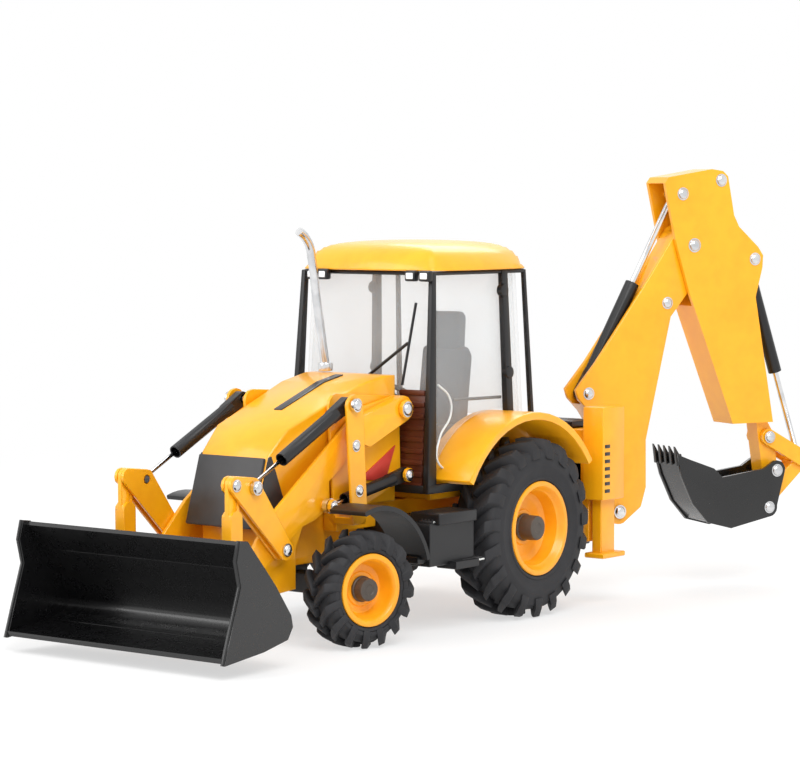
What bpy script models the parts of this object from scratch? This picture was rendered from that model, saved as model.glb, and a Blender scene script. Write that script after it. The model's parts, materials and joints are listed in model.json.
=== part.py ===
# Toy backhoe loader at about 1:32 scale, as separate pieces in the pose of the photograph.
# Metres, +Z up. The machine faces -X and its left side is -Y. Its own datum is on the ground
# under the rear axle; the frame empty moves that datum so that the origin is under the middle.
from math import asin, atan2, cos, hypot, pi, radians, sin, sqrt

import bmesh
import bpy
from mathutils import Matrix, Vector

MM = 0.001

# Clearances
GAP = 0.3 * MM                  # between pieces that touch
PIN_PLAY = 0.3 * MM             # around a pin in its hole

# Where the machine's datum lies in the frame of the part
DATUM_X = 5.6 * MM
DATUM_Y = 6.4 * MM

# Rear wheels
REAR_TYRE_R = 23.5 * MM
REAR_TYRE_WIDTH = 13.5 * MM
REAR_TRACK = 52.5 * MM          # between the tyres' middles
REAR_RIM_R = 11.4 * MM
REAR_LUG = 2.2 * MM
REAR_HUB_R = 3.3 * MM
REAR_AXLE_R = 1.6 * MM

# Front wheels and steering
FRONT_TYRE_R = 14.5 * MM
FRONT_TYRE_WIDTH = 10.0 * MM
FRONT_RIM_R = 8.0 * MM
FRONT_LUG = 1.7 * MM
FRONT_HUB_R = 2.9 * MM
STUB_R = 1.5 * MM
FRONT_AXLE_X = -65.9 * MM
KINGPIN_Y = 17.8 * MM
KINGPIN_R = 1.3 * MM
WHEEL_OFFSET = 9.5 * MM         # from the king pin to the tyre's middle
STEER = radians(-11.8)          # the wheels point a little to the right
STEER_ARM = 6.5 * MM
BEAM_HALF_HEIGHT = 2.5 * MM
BEAM_END_R = 2.6 * MM

# Chassis
CHASSIS_FRONT = -84.0 * MM
CHASSIS_REAR = 27.3 * MM
CHASSIS_HALF = 9.5 * MM
CHASSIS_LOW = 19.0 * MM
CHASSIS_HIGH = 32.0 * MM

# Engine hood and grille
HOOD_HALF = 13.0 * MM
HOOD_NOSE_HALF = 10.5 * MM
HOOD_REAR = -35.6 * MM
HOOD_WALL = 1.6 * MM
GRILLE_THICK = 1.2 * MM

# Cab
CAB_FRONT = -34.7 * MM
CAB_REAR = 12.0 * MM
CAB_HALF = 23.0 * MM
CAB_TOP = 90.5 * MM
CAB_LEAN = 0.93                 # plan size at the roof over that at the floor
POST = 1.8 * MM
WINDOW_TOP = 88.0 * MM
GLASS = 0.7 * MM
ROOF_FRONT = -34.8 * MM
ROOF_REAR = 9.8 * MM
ROOF_HALF = 24.2 * MM
ROOF_RISE = 7.6 * MM

# Rear wheel arches with the cab floor
ARCH_R = 32.0 * MM
ARCH_THICK = 2.0 * MM
ARCH_X = -3.5 * MM
ARCH_Z = 22.0 * MM
ARCH_WALL = 2.2 * MM            # from the tyre in to the arch's inner face
ARCH_OUTER = (REAR_TRACK + REAR_TYRE_WIDTH) / 2 + GAP
ARCH_INNER = (REAR_TRACK - REAR_TYRE_WIDTH) / 2 - ARCH_WALL
FLOOR_THICK = 2.0 * MM

# Steps and front mudguards
GUARD_R = 20.3 * MM
GUARD_THICK = 1.2 * MM
GUARD_INNER = 21.4 * MM
GUARD_OUTER = 32.5 * MM
STEP_FRONT = -44.8 * MM
STEP_REAR = -26.4 * MM
STEP_LOW = 17.6 * MM
STEP_HIGH = 28.4 * MM
STEP_OUTER = 31.0 * MM

# Loader: plates on each side, counted outwards from the middle of the machine
TOWER_INNER = 13.3 * MM
TOWER_THICK = 0.8 * MM
ARM_INNER = 14.4 * MM
ARM_THICK = 1.1 * MM
ARM_BAR = 2.8 * MM              # how far the arm's rear bar stands out from its plate
RAM_PLANE = 17.3 * MM
LEVER_THICK = 0.8 * MM
LEVER_HALF = 1.5 * MM           # half the width over a lever's two straps
STRIP_INNER = 19.1 * MM         # the tower's outer strip
PIN_R = 0.9 * MM
HEAD_R = 1.7 * MM
HEAD_THICK = 0.8 * MM

# Loader pins, as x and z
ARM_PIVOT = Vector((-39.0, 56.2)) * MM
TILT_BASE = Vector((-61.0, 58.5)) * MM
LIFT_BASE = Vector((-38.0, 39.5)) * MM
LIFT_TIP = Vector((-67.5, 34.0)) * MM
LEVER_PIVOT = Vector((-85.2, 24.9)) * MM
TILT_TIP = Vector((-97.0, 40.8)) * MM
LINK_HEAD = Vector((-103.2, 41.8)) * MM
BUCKET_PIVOT = Vector((-98.5, 14.0)) * MM
LINK_FOOT = Vector((-103.0, 19.5)) * MM

# Loader rams
TILT_BARREL_R = 1.7 * MM
TILT_BORE_R = 1.4 * MM
TILT_BARREL_LENGTH = 27.0 * MM
TILT_ROD_R = 0.52 * MM
TILT_ROD_LENGTH = 24.0 * MM
LIFT_BARREL_R = 1.55 * MM
LIFT_BORE_R = 1.3 * MM
LIFT_BARREL_LENGTH = 24.0 * MM
LIFT_ROD_R = 0.55 * MM
LIFT_ROD_LENGTH = 22.0 * MM

# Loader bucket
BUCKET_HALF = 35.7 * MM
BUCKET_SHEET = 1.2 * MM
BUCKET_SIDE = 1.4 * MM

# Rear frame, stabilisers and carriage
FRAME_FRONT = 30.0 * MM
FRAME_REAR = 36.4 * MM
FRAME_HALF = 26.9 * MM
RAIL_LOW = 17.0 * MM
RAIL_HIGH = 47.0 * MM
RAIL_HEIGHT = 5.0 * MM
SLEEVE_X = 32.6 * MM
SLEEVE_LENGTH = 10.0 * MM
SLEEVE_WIDTH = 6.7 * MM
SLEEVE_OUTER = FRAME_HALF + SLEEVE_WIDTH
SLEEVE_LOW = 28.5 * MM
SLEEVE_TOP = 53.4 * MM
SLEEVE_WALL = 1.5 * MM
LEG_LOW = 12.8 * MM
LEG_TOP = 46.0 * MM
FOOT_LENGTH = 10.4 * MM
FOOT_THICK = 1.4 * MM
CARRIAGE_HALF = 8.0 * MM
CARRIAGE_THICK = 3.0 * MM
SIDESHIFT = -13.1 * MM
SLEW_X = 45.5 * MM
SLEW = radians(-25.0)           # the backhoe points a little to the left
SLEW_PIN_R = 1.5 * MM
KINGPOST_R = 4.0 * MM
KINGPOST_LOW = 19.6 * MM
KINGPOST_HIGH = 36.0 * MM
LUG_HEIGHT = 4.0 * MM

# Backhoe: half thicknesses across its plane
BOOM_HALF = 3.6 * MM
BOOM_SLOT_HALF = 2.3 * MM
DIPPER_HALF = 5.0 * MM
DIPPER_SLOT_HALF = 3.9 * MM
NOSE_HALF = 2.6 * MM
SCOOP_HALF = 6.3 * MM
SCOOP_SHEET = 1.2 * MM
SCOOP_TEETH = 5

# Backhoe pins, as distance behind the slew axis and height
BOOM_PIVOT = Vector((10.9, 22.5)) * MM
BOOM_KNEE = Vector((1.0, 55.6)) * MM
DIPPER_PIVOT = Vector((34.1, 96.1)) * MM
DIPPER_RAM_TIP = Vector((30.2, 110.4)) * MM
SCOOP_RAM_BASE = Vector((54.2, 92.1)) * MM
TIP_LEVER_PIVOT = Vector((60.1, 41.5)) * MM
TIP_LEVER_END = Vector((72.8, 34.5)) * MM
SCOOP_PIVOT = Vector((61.4, 32.1)) * MM
SCOOP_LINK = Vector((58.9, 21.7)) * MM
BACKHOE_PIN_R = 0.9 * MM

# Backhoe rams
DIPPER_BARREL_R = 2.0 * MM
DIPPER_BORE_R = 1.6 * MM
DIPPER_BARREL_LENGTH = 34.0 * MM
DIPPER_ROD_R = 0.95 * MM
DIPPER_ROD_LENGTH = 34.0 * MM
SCOOP_BARREL_R = 1.9 * MM
SCOOP_BORE_R = 1.5 * MM
SCOOP_BARREL_LENGTH = 34.0 * MM
SCOOP_ROD_R = 0.9 * MM
SCOOP_ROD_LENGTH = 32.0 * MM

# Finishes: colour, roughness, metallic
FINISHES = {
    "yellow_paint": ((0.96, 0.46, 0.012), 0.35, 0.0),
    "black_plastic": ((0.016, 0.016, 0.018), 0.45, 0.0),
    "charcoal_plastic": ((0.05, 0.05, 0.055), 0.5, 0.0),
    "rubber": ((0.022, 0.022, 0.024), 0.8, 0.0),
    "chrome": ((0.8, 0.8, 0.8), 0.15, 1.0),
    "clear_plastic": ((0.75, 0.8, 0.82), 0.1, 0.0),
    "grey_plastic": ((0.2, 0.2, 0.21), 0.6, 0.0),
}


def start_scene():
    for obj in list(bpy.data.objects):
        bpy.data.objects.remove(obj, do_unlink=True)
    parts = bpy.data.collections.new("toy_backhoe_loader")
    bpy.context.scene.collection.children.link(parts)
    return parts


PARTS = start_scene()


def make_finish(name):
    colour, roughness, metallic = FINISHES[name]
    finish = bpy.data.materials.new(name)
    finish.use_nodes = True
    shader = finish.node_tree.nodes["Principled BSDF"]
    shader.inputs["Base Color"].default_value = (*colour, 1.0)
    shader.inputs["Roughness"].default_value = roughness
    shader.inputs["Metallic"].default_value = metallic
    finish.diffuse_color = (*colour, 1.0)
    return finish


MATERIALS = {name: make_finish(name) for name in FINISHES}


def empty(name, location, turn=0.0, parent=None):
    holder = bpy.data.objects.new(name, None)
    holder.location = location
    holder.rotation_euler = (0.0, 0.0, turn)
    holder.parent = parent
    PARTS.objects.link(holder)
    return holder


def shape_from(source):
    # A plain mesh object from what Blender evaluates for the source, which is removed.
    bpy.context.view_layer.update()
    depsgraph = bpy.context.evaluated_depsgraph_get()
    mesh = bpy.data.meshes.new_from_object(source.evaluated_get(depsgraph))
    mesh.transform(source.matrix_world)
    bm = bmesh.new()
    bm.from_mesh(mesh)
    if source.type == "CURVE":
        bmesh.ops.remove_doubles(bm, verts=bm.verts, dist=0.002 * MM)
    bmesh.ops.recalc_face_normals(bm, faces=bm.faces)
    bm.to_mesh(mesh)
    bm.free()
    shape = bpy.data.objects.new("shape", mesh)
    PARTS.objects.link(shape)
    bpy.data.objects.remove(source, do_unlink=True)
    return shape


def mesh_shape(bm):
    bmesh.ops.recalc_face_normals(bm, faces=bm.faces)
    mesh = bpy.data.meshes.new("shape")
    bm.to_mesh(mesh)
    bm.free()
    shape = bpy.data.objects.new("shape", mesh)
    PARTS.objects.link(shape)
    return shape


def plate(outline, low, high, holes=()):
    # A flat outline in the XZ plane, with round holes, from y = low to y = high.
    curve = bpy.data.curves.new("outline", "CURVE")
    curve.dimensions = "2D"
    curve.fill_mode = "BOTH"
    curve.extrude = abs(high - low) / 2
    loops = [outline] + [arc(centre, radius, 0, 2 * pi, 10)[:-1] for centre, radius in holes]
    for loop in loops:
        spline = curve.splines.new("POLY")
        spline.points.add(len(loop) - 1)
        for point, (x, z) in zip(spline.points, loop):
            point.co = (x, z, 0.0, 1.0)
        spline.use_cyclic_u = True
    source = bpy.data.objects.new("outline", curve)
    PARTS.objects.link(source)
    source.rotation_euler = (pi / 2, 0.0, 0.0)
    source.location = (0.0, (low + high) / 2, 0.0)
    return shape_from(source)


def block(low, high):
    bm = bmesh.new()
    bmesh.ops.create_cube(bm, size=1.0)
    size = Vector(high) - Vector(low)
    middle = (Vector(high) + Vector(low)) / 2
    bmesh.ops.transform(bm, matrix=Matrix.Translation(middle) @ Matrix.Diagonal((*size, 1.0)),
                        verts=bm.verts)
    return mesh_shape(bm)


def cylinder(start, end, radius, sides=12):
    start, end = Vector(start), Vector(end)
    along = end - start
    bm = bmesh.new()
    bmesh.ops.create_cone(bm, cap_ends=True, segments=sides, radius1=radius, radius2=radius,
                          depth=along.length)
    turn = Vector((0.0, 0.0, 1.0)).rotation_difference(along).to_matrix().to_4x4()
    bmesh.ops.transform(bm, matrix=Matrix.Translation((start + end) / 2) @ turn, verts=bm.verts)
    return mesh_shape(bm)


def cross_pin(pin, low, high, radius, sides=10):
    return cylinder((pin.x, low, pin.y), (pin.x, high, pin.y), radius, sides)


def turned(profile, sides):
    # A closed profile of (radius, y) turned about the Y axis.
    mesh = bpy.data.meshes.new("profile")
    count = len(profile)
    mesh.from_pydata([(r, 0.0, y) for r, y in profile],
                     [(i, (i + 1) % count) for i in range(count)], [])
    source = bpy.data.objects.new("profile", mesh)
    PARTS.objects.link(source)
    screw = source.modifiers.new("turn", "SCREW")
    screw.axis = "Z"
    screw.steps = screw.render_steps = sides
    screw.use_merge_vertices = True
    screw.merge_threshold = 0.001 * MM
    source.rotation_euler = (-pi / 2, 0.0, 0.0)
    return shape_from(source)


def combine(base, tools, operation):
    for tool in tools:
        change = base.modifiers.new(operation.lower(), "BOOLEAN")
        change.operation = operation
        change.solver = "EXACT"
        change.object = tool
        result = shape_from(base)
        bpy.data.objects.remove(tool, do_unlink=True)
        base = result
    return base


def fuse(base, *tools):
    return combine(base, tools, "UNION")


def cut(base, *tools):
    return combine(base, tools, "DIFFERENCE")


def arc(centre, radius, start, end, steps):
    turns = [start + (end - start) * i / steps for i in range(steps + 1)]
    return [Vector((centre[0] + radius * cos(a), centre[1] + radius * sin(a))) for a in turns]


def strap(*eyes):
    # The convex outline round a few circles, each a centre and a radius.
    points = [p for centre, radius in eyes for p in arc(centre, radius, 0, 2 * pi, 12)[:-1]]
    points.sort(key=lambda p: (p.x, p.y))

    def half(ordered):
        chain = []
        for p in ordered:
            while len(chain) > 1 and (chain[-1] - chain[-2]).cross(p - chain[-1]) <= 0:
                chain.pop()
            chain.append(p)
        return chain[:-1]

    return half(points) + half(points[::-1])


def offsets(origin, *points):
    return [origin + Vector(p) * MM for p in points]


def thicken(path, amount):
    # The outline of a bent sheet: a path and the same path moved to its left.
    moved = []
    for i, point in enumerate(path):
        before = (point - path[i - 1]).normalized() if i else (path[1] - point).normalized()
        after = (path[i + 1] - point).normalized() if i + 1 < len(path) else before
        left = Vector((-before.y - after.y, before.x + after.x)).normalized()
        share = max(left.dot(Vector((-before.y, before.x))), 0.5)
        moved.append(point + left * (amount / share))
    return path + moved[::-1]


def span(side, inner, outer):
    return tuple(sorted((side * inner, side * outer)))


def piece(name, shape, finish, frame, pivot=(0.0, 0.0, 0.0), smooth=False):
    # Names the shape, gives it its finish and puts its origin on the pivot, under its frame.
    shape.name = name
    shape.data.name = name
    bm = bmesh.new()
    bm.from_mesh(shape.data)
    bmesh.ops.dissolve_limit(bm, angle_limit=radians(0.3), verts=bm.verts, edges=bm.edges)
    bm.to_mesh(shape.data)
    bm.free()
    shape.data.transform(Matrix.Translation(-Vector(pivot)))
    shape.location = pivot
    shape.parent = frame
    shape.data.materials.clear()
    shape.data.materials.append(MATERIALS[finish])
    if smooth:
        shape.data.shade_smooth()
        shape.data.set_sharp_from_angle(angle=radians(35))
    return shape


def at(pin, y=0.0):
    return Vector((pin.x, y, pin.y))


# Frames: the machine, its two steered wheels, the sliding carriage and the slewed backhoe
MACHINE = empty("machine", (DATUM_X, DATUM_Y, 0.0))
KNUCKLES = {side: empty("king_pin_" + name, (FRONT_AXLE_X, side * KINGPIN_Y, 0.0), STEER, MACHINE)
            for side, name in ((-1, "left"), (1, "right"))}
CARRIAGE = empty("sideshift", (0.0, SIDESHIFT, 0.0), 0.0, MACHINE)
BACKHOE = empty("slew_axis", (SLEW_X, 0.0, 0.0), SLEW, CARRIAGE)
SIDES = ((-1, "left"), (1, "right"))


# Chassis, axles and steering

def make_chassis():
    frame = block((CHASSIS_FRONT, -CHASSIS_HALF, CHASSIS_LOW),
                  (CHASSIS_REAR, CHASSIS_HALF, CHASSIS_HIGH))
    inner = REAR_TRACK / 2 - REAR_TYRE_WIDTH / 2
    housing_r = 2.2 * REAR_AXLE_R
    housing = cross_pin(Vector((0.0, REAR_TYRE_R)), GAP - inner, inner - GAP, housing_r, 18)
    reach = REAR_TRACK / 2 + 0.3 * REAR_TYRE_WIDTH
    shaft = cross_pin(Vector((0.0, REAR_TYRE_R)), -reach, reach, REAR_AXLE_R)
    piece("chassis", fuse(frame, housing, shaft), "yellow_paint", MACHINE)


def make_front_axle():
    z = FRONT_TYRE_R
    x = FRONT_AXLE_X
    half = BEAM_END_R
    beam = block((x - half, -KINGPIN_Y, z - BEAM_HALF_HEIGHT),
                 (x + half, KINGPIN_Y, z + BEAM_HALF_HEIGHT))
    ends = [cylinder((x, side * KINGPIN_Y, z - BEAM_HALF_HEIGHT),
                     (x, side * KINGPIN_Y, z + BEAM_HALF_HEIGHT),
                     BEAM_END_R, 20) for side, _ in SIDES]
    seat = block((x - 1.6 * half, -CHASSIS_HALF * 0.6, z),
                 (x + 1.6 * half, CHASSIS_HALF * 0.6, CHASSIS_LOW - GAP))
    holes = [cylinder((x, side * KINGPIN_Y, 0.0), (x, side * KINGPIN_Y, CHASSIS_LOW),
                      KINGPIN_R + PIN_PLAY, 14)
             for side, _ in SIDES]
    piece("front_axle", cut(fuse(beam, *ends, seat), *holes), "black_plastic", MACHINE)


def make_knuckle(side, name):
    # A fork round the beam's end with the king pin, the stub axle and the steering arm.
    z = FRONT_TYRE_R
    ear = 1.5 * MM
    inside = z - BEAM_HALF_HEIGHT - GAP
    top = z + BEAM_HALF_HEIGHT + GAP
    web = BEAM_END_R + 0.4 * MM
    back = web + 1.6 * MM
    low, high = inside - ear, top + ear
    half = BEAM_END_R
    upper = block((-half, min(-side * half, side * back), top),
                  (half, max(-side * half, side * back), high))
    lower = block((-half, min(-side * half, side * back), low),
                  (half, max(-side * half, side * back), inside))
    wall = block((-half, span(side, web, back)[0], low + ear / 2),
                 (half, span(side, web, back)[1], high - ear / 2))
    pin = cylinder((0.0, 0.0, low + ear / 2), (0.0, 0.0, high - ear / 2), KINGPIN_R, 14)
    stub = cylinder((0.0, side * (web + back) / 2, z),
                    (0.0, side * (WHEEL_OFFSET + 0.3 * FRONT_TYRE_WIDTH), z), STUB_R)
    eye = plate_flat(strap((Vector((0.0, 0.0)), 1.6 * MM), (Vector((STEER_ARM, 0.0)), 1.4 * MM)),
                     low, inside - 0.1 * MM)
    shape = fuse(upper, pin, lower, wall, stub, eye)
    piece(name + "_steering_knuckle", shape, "black_plastic", KNUCKLES[side])


def plate_flat(outline, low, high):
    # A flat outline in the XY plane from z = low to z = high.
    shape = plate(outline, low, high)
    shape.data.transform(Matrix.Rotation(pi / 2, 4, "X"))
    return shape


def make_tie_rod():
    z = FRONT_TYRE_R - BEAM_HALF_HEIGHT
    radius = 0.8 * MM
    x = FRONT_AXLE_X + STEER_ARM * cos(STEER)
    shift = STEER_ARM * sin(STEER)
    ends = [shift - KINGPIN_Y, shift + KINGPIN_Y]
    rod = cylinder((x, ends[0], z + radius), (x, ends[1], z + radius), radius, 12)
    eyes = [cylinder((x, y, z), (x, y, z + 2 * radius), 1.5 * MM, 14) for y in ends]
    piece("tie_rod", fuse(rod, *eyes), "chrome", MACHINE)


# Wheels

def tyre_shape(radius, width, bore, lug, segments):
    # A ring of rubber whose tread faces are drawn out into two staggered rows of lugs.
    base = radius - lug
    half = width / 2
    bead = bore + 1.1 * MM
    wall = (base + bore) / 2
    section = [(bore, -half + 0.9 * MM), (bead, -half + 0.3 * MM), (wall, -half),
               (base - 0.9 * MM, -half + 0.3 * MM),
               (base, -half + 1.3 * MM), (base, -0.5 * MM), (base, 0.5 * MM), (base, half - 1.3 * MM),
               (base - 0.9 * MM, half - 0.3 * MM),
               (wall, half), (bead, half - 0.3 * MM), (bead, half - 1.0 * MM), (bore, half - 1.4 * MM)]
    bm = bmesh.new()
    ring = [bm.verts.new((r, y, 0.0)) for r, y in section]
    edges = [bm.edges.new((ring[i], ring[(i + 1) % len(ring)])) for i in range(len(ring))]
    bmesh.ops.spin(bm, geom=ring + edges, cent=(0, 0, 0), axis=(0, 1, 0), angle=2 * pi,
                   steps=segments, use_merge=True)
    bmesh.ops.remove_doubles(bm, verts=bm.verts, dist=0.01 * MM)
    bmesh.ops.recalc_face_normals(bm, faces=bm.faces)
    chosen = []
    for face in bm.faces:
        middle = face.calc_center_median()
        reach = hypot(middle.x, middle.z)
        sector = int((atan2(middle.z, middle.x) + pi) / (2 * pi) * segments)
        row = 0 if middle.y < 0 else 1
        if reach > base - 0.7 * MM and sector % 2 == row and 0.3 * MM < abs(middle.y) < half - 0.2 * MM:
            chosen.append((sector, row, face))
    lugs = {}
    for sector, row, face in chosen:
        lugs.setdefault((sector, row), []).append(face)
    for faces in lugs.values():
        drawn = bmesh.ops.extrude_face_region(bm, geom=faces)["geom"]
        for vert in [v for v in drawn if isinstance(v, bmesh.types.BMVert)]:
            reach = hypot(vert.co.x, vert.co.z)
            outer = radius if reach > base - 0.5 * MM else radius - lug * 0.75
            vert.co.x *= outer / reach
            vert.co.z *= outer / reach
        bmesh.ops.delete(bm, geom=faces, context="FACES_ONLY")
    return mesh_shape(bm)


def rim_shape(radius, width, hub, bore, segments):
    # A deep dished rim with a raised outer lip and a hub that stands out to the face; y = + is outwards.
    half = width / 2
    lip = radius + 0.9 * MM
    face = half - 0.1 * MM
    wall = 1.1 * MM
    disc = 0.04 * width
    profile = [(radius, face - 0.9 * MM), (radius, 0.9 * MM - half), (radius - wall, 0.9 * MM - half),
               (radius - 1.3 * wall, disc - 2.0 * MM), (hub + 1.0 * MM, disc - 2.0 * MM),
               (bore, disc - 2.0 * MM),
               (bore, face - 0.8 * MM), (hub, face - 0.8 * MM), (hub, disc),
               (0.72 * radius, disc + 0.5 * MM),
               (radius - 0.2 * MM, face), (lip, face), (lip, face - 0.7 * MM)]
    return turned(profile, segments)


def make_wheel(side, end, frame, centre, sizes):
    radius, width, rim_r, hub, lug, bore, segments = sizes
    turn = Matrix.Rotation(0.0 if side > 0 else pi, 4, "Z")
    tyre = tyre_shape(radius, width, rim_r + GAP, lug, segments)
    rim = rim_shape(rim_r, width, hub, bore, 20)
    for name, shape, finish in (("tyre", tyre, "rubber"), ("rim", rim, "yellow_paint")):
        shape.data.transform(Matrix.Translation(centre) @ turn)
        side_name = "left" if side < 0 else "right"
        piece(end + "_" + side_name + "_" + name, shape, finish, frame, centre, smooth=True)


def make_wheels():
    rear = (REAR_TYRE_R, REAR_TYRE_WIDTH, REAR_RIM_R, REAR_HUB_R, REAR_LUG, REAR_AXLE_R + PIN_PLAY, 28)
    front = (FRONT_TYRE_R, FRONT_TYRE_WIDTH, FRONT_RIM_R, FRONT_HUB_R, FRONT_LUG, STUB_R + PIN_PLAY, 24)
    for side, _ in SIDES:
        make_wheel(side, "rear", MACHINE, Vector((0.0, side * REAR_TRACK / 2, REAR_TYRE_R)), rear)
        make_wheel(side, "front", KNUCKLES[side], Vector((0.0, side * WHEEL_OFFSET, FRONT_TYRE_R)),
                   front)


# Body

def taper_sideways(shape, front_x, rear_x, front_share):
    # Narrows a shape towards its front.
    for vert in shape.data.vertices:
        share = min(max((vert.co.x - front_x) / (rear_x - front_x), 0.0), 1.0)
        vert.co.y *= front_share + (1.0 - front_share) * share


def hood_outline(inset):
    # The hood's side view from its nose to the cab, drawn in by an even inset.
    floor = CHASSIS_HIGH + GAP
    nose_low = Vector((CHASSIS_FRONT - 3.2 * MM + inset, floor if inset == 0 else floor - 2 * inset))
    nose_high = Vector((CHASSIS_FRONT + 1.4 * MM + 1.1 * inset, floor + 14.6 * MM - inset))
    crest = [(7.6, 20.8), (34.0, 30.4), (43.0, 32.2)]
    top = [Vector((CHASSIS_FRONT + x * MM, floor + z * MM - inset)) for x, z in crest]
    rear_x = HOOD_REAR - inset
    return [nose_low, nose_high] + top + [Vector((rear_x, top[-1].y)), Vector((rear_x, nose_low.y))]


def make_hood():
    shell = plate(hood_outline(0.0), -HOOD_HALF, HOOD_HALF)
    bevel = shell.modifiers.new("round", "BEVEL")
    bevel.width = 1.6 * MM
    bevel.segments = 2
    bevel.limit_method = "ANGLE"
    bevel.angle_limit = radians(60)
    shell = shape_from(shell)
    hollow = plate(hood_outline(HOOD_WALL), HOOD_WALL - HOOD_HALF, HOOD_HALF - HOOD_WALL)
    nose = CHASSIS_FRONT - 3.2 * MM
    share = HOOD_NOSE_HALF / HOOD_HALF
    taper_sideways(shell, nose, TILT_BASE.x, share)
    taper_sideways(hollow, nose, TILT_BASE.x, share)
    piece("engine_hood", cut(shell, hollow), "yellow_paint", MACHINE)


def make_grille():
    nose = hood_outline(0.0)
    low, high = nose[0], nose[1]
    rise = (high - low).normalized()
    away = Vector((-rise.y, rise.x))
    foot = low + rise * 1.8 * MM + away * GAP
    head = high - rise * 1.2 * MM + away * GAP
    outline = [foot, head, head + away * GRILLE_THICK, foot + away * GRILLE_THICK]
    half = HOOD_NOSE_HALF - 1.2 * MM
    grille = plate(outline, -half, half)
    for vert in grille.data.vertices:
        share = (vert.co.z - foot.y) / (head.y - foot.y)
        vert.co.y *= 0.82 + 0.18 * share
    piece("front_grille", grille, "charcoal_plastic", MACHINE)


def arch_height(x, radius):
    return ARCH_Z + sqrt(max(radius * radius - (x - ARCH_X) ** 2, 0.0))


def make_rear_fenders():
    # Both wheel arches with their inner walls, the cab floor between them and a rear panel,
    # as one moulding.
    start, end = radians(34), radians(150)
    inner_r = ARCH_R - ARCH_THICK
    centre = (ARCH_X, ARCH_Z)
    floor_low = CHASSIS_HIGH + GAP
    floor_high = floor_low + FLOOR_THICK
    sill = [arc(centre, inner_r - 0.5 * MM, turn, turn, 1)[0] for turn in (end, start)]
    front_x, rear_x = sill[0].x, sill[1].x
    outline = arc(centre, ARCH_R, start, end, 16) + [sill[0], Vector((front_x, floor_low)),
                                                     Vector((rear_x, floor_low)), sill[1]]
    wall_outer = REAR_TRACK / 2 - REAR_TYRE_WIDTH / 2 - 2 * GAP
    shape = block((front_x + 0.3 * MM, 0.7 * MM - wall_outer, floor_low + 0.1 * MM),
                  (rear_x - 0.3 * MM, wall_outer - 0.7 * MM, floor_high))
    for side, _ in SIDES:
        wheel_room = plate(arc(centre, inner_r, 0, 2 * pi, 48)[:-1],
                           *span(side, wall_outer, ARCH_OUTER + 2.0 * MM))
        shape = fuse(shape, cut(plate(outline, *span(side, ARCH_INNER, ARCH_OUTER)), wheel_room))
    rear = block((rear_x - 2.2 * MM, 0.4 * MM - wall_outer, floor_low + 0.5 * MM),
                 (rear_x - 0.6 * MM, wall_outer - 0.4 * MM, arch_height(rear_x, inner_r) - 2.0 * MM))
    piece("rear_fenders", fuse(shape, rear), "yellow_paint", MACHINE)


def lean(shape, floor):
    # Draws the cab's plan in towards the roof.
    middle = (CAB_FRONT + CAB_REAR) / 2
    for vert in shape.data.vertices:
        share = (vert.co.z - floor) / (CAB_TOP - floor)
        scale = 1.0 + (CAB_LEAN - 1.0) * share
        vert.co.x = middle + (vert.co.x - middle) * (1.0 + (0.86 - 1.0) * share)
        vert.co.y *= scale


def cab_floor():
    return CHASSIS_HIGH + GAP + FLOOR_THICK + GAP


def arch_cutter(half):
    centre = (ARCH_X, ARCH_Z)
    return plate(arc(centre, ARCH_R + GAP, 0, 2 * pi, 72)[:-1], -half, half)


def window_outline(front_x, rear_x, low, sill_r):
    # A side window whose sill follows the wheel arch.
    steps = 8
    xs = [front_x + (rear_x - front_x) * i / steps for i in range(steps + 1)]
    sill = [Vector((x, max(low, arch_height(x, sill_r)))) for x in xs]
    return sill + [Vector((rear_x, WINDOW_TOP)), Vector((front_x, WINDOW_TOP))]


def make_cab():
    floor = cab_floor()
    sill_r = ARCH_R + 2.4 * MM
    frame = block((CAB_FRONT, -CAB_HALF, floor), (CAB_REAR, CAB_HALF, CAB_TOP))
    room = block((CAB_FRONT + POST, POST - CAB_HALF, floor - POST),
                 (CAB_REAR - POST, CAB_HALF - POST, CAB_TOP + POST))
    door_rear = CAB_REAR - 15.0 * MM
    reach = CAB_HALF + POST
    door = plate(window_outline(CAB_FRONT + POST, door_rear, floor + 5.0 * MM, sill_r), -reach, reach)
    quarter = plate(window_outline(door_rear + POST, CAB_REAR - POST, floor + 20.0 * MM, sill_r),
                    -reach, reach)
    ends = block((CAB_FRONT - POST, 1.4 * POST - CAB_HALF, floor + 22.0 * MM),
                 (CAB_REAR + POST, CAB_HALF - 1.4 * POST, WINDOW_TOP))
    frame = cut(frame, room, door, quarter, ends)
    lean(frame, floor)
    piece("cab_frame", cut(frame, arch_cutter(reach)), "black_plastic", MACHINE)

    inset = POST + GAP
    glass_low = floor + 3.0 * MM
    skin = block((CAB_FRONT + inset, inset - CAB_HALF, glass_low),
                 (CAB_REAR - inset, CAB_HALF - inset, CAB_TOP - GAP))
    inner = inset + GLASS
    hollow = block((CAB_FRONT + inner, inner - CAB_HALF, glass_low - POST),
                   (CAB_REAR - inner, CAB_HALF - inner, CAB_TOP + POST))
    glazing = cut(skin, hollow)
    lean(glazing, floor)
    piece("cab_glazing", cut(glazing, arch_cutter(reach)), "clear_plastic", MACHINE)


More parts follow.
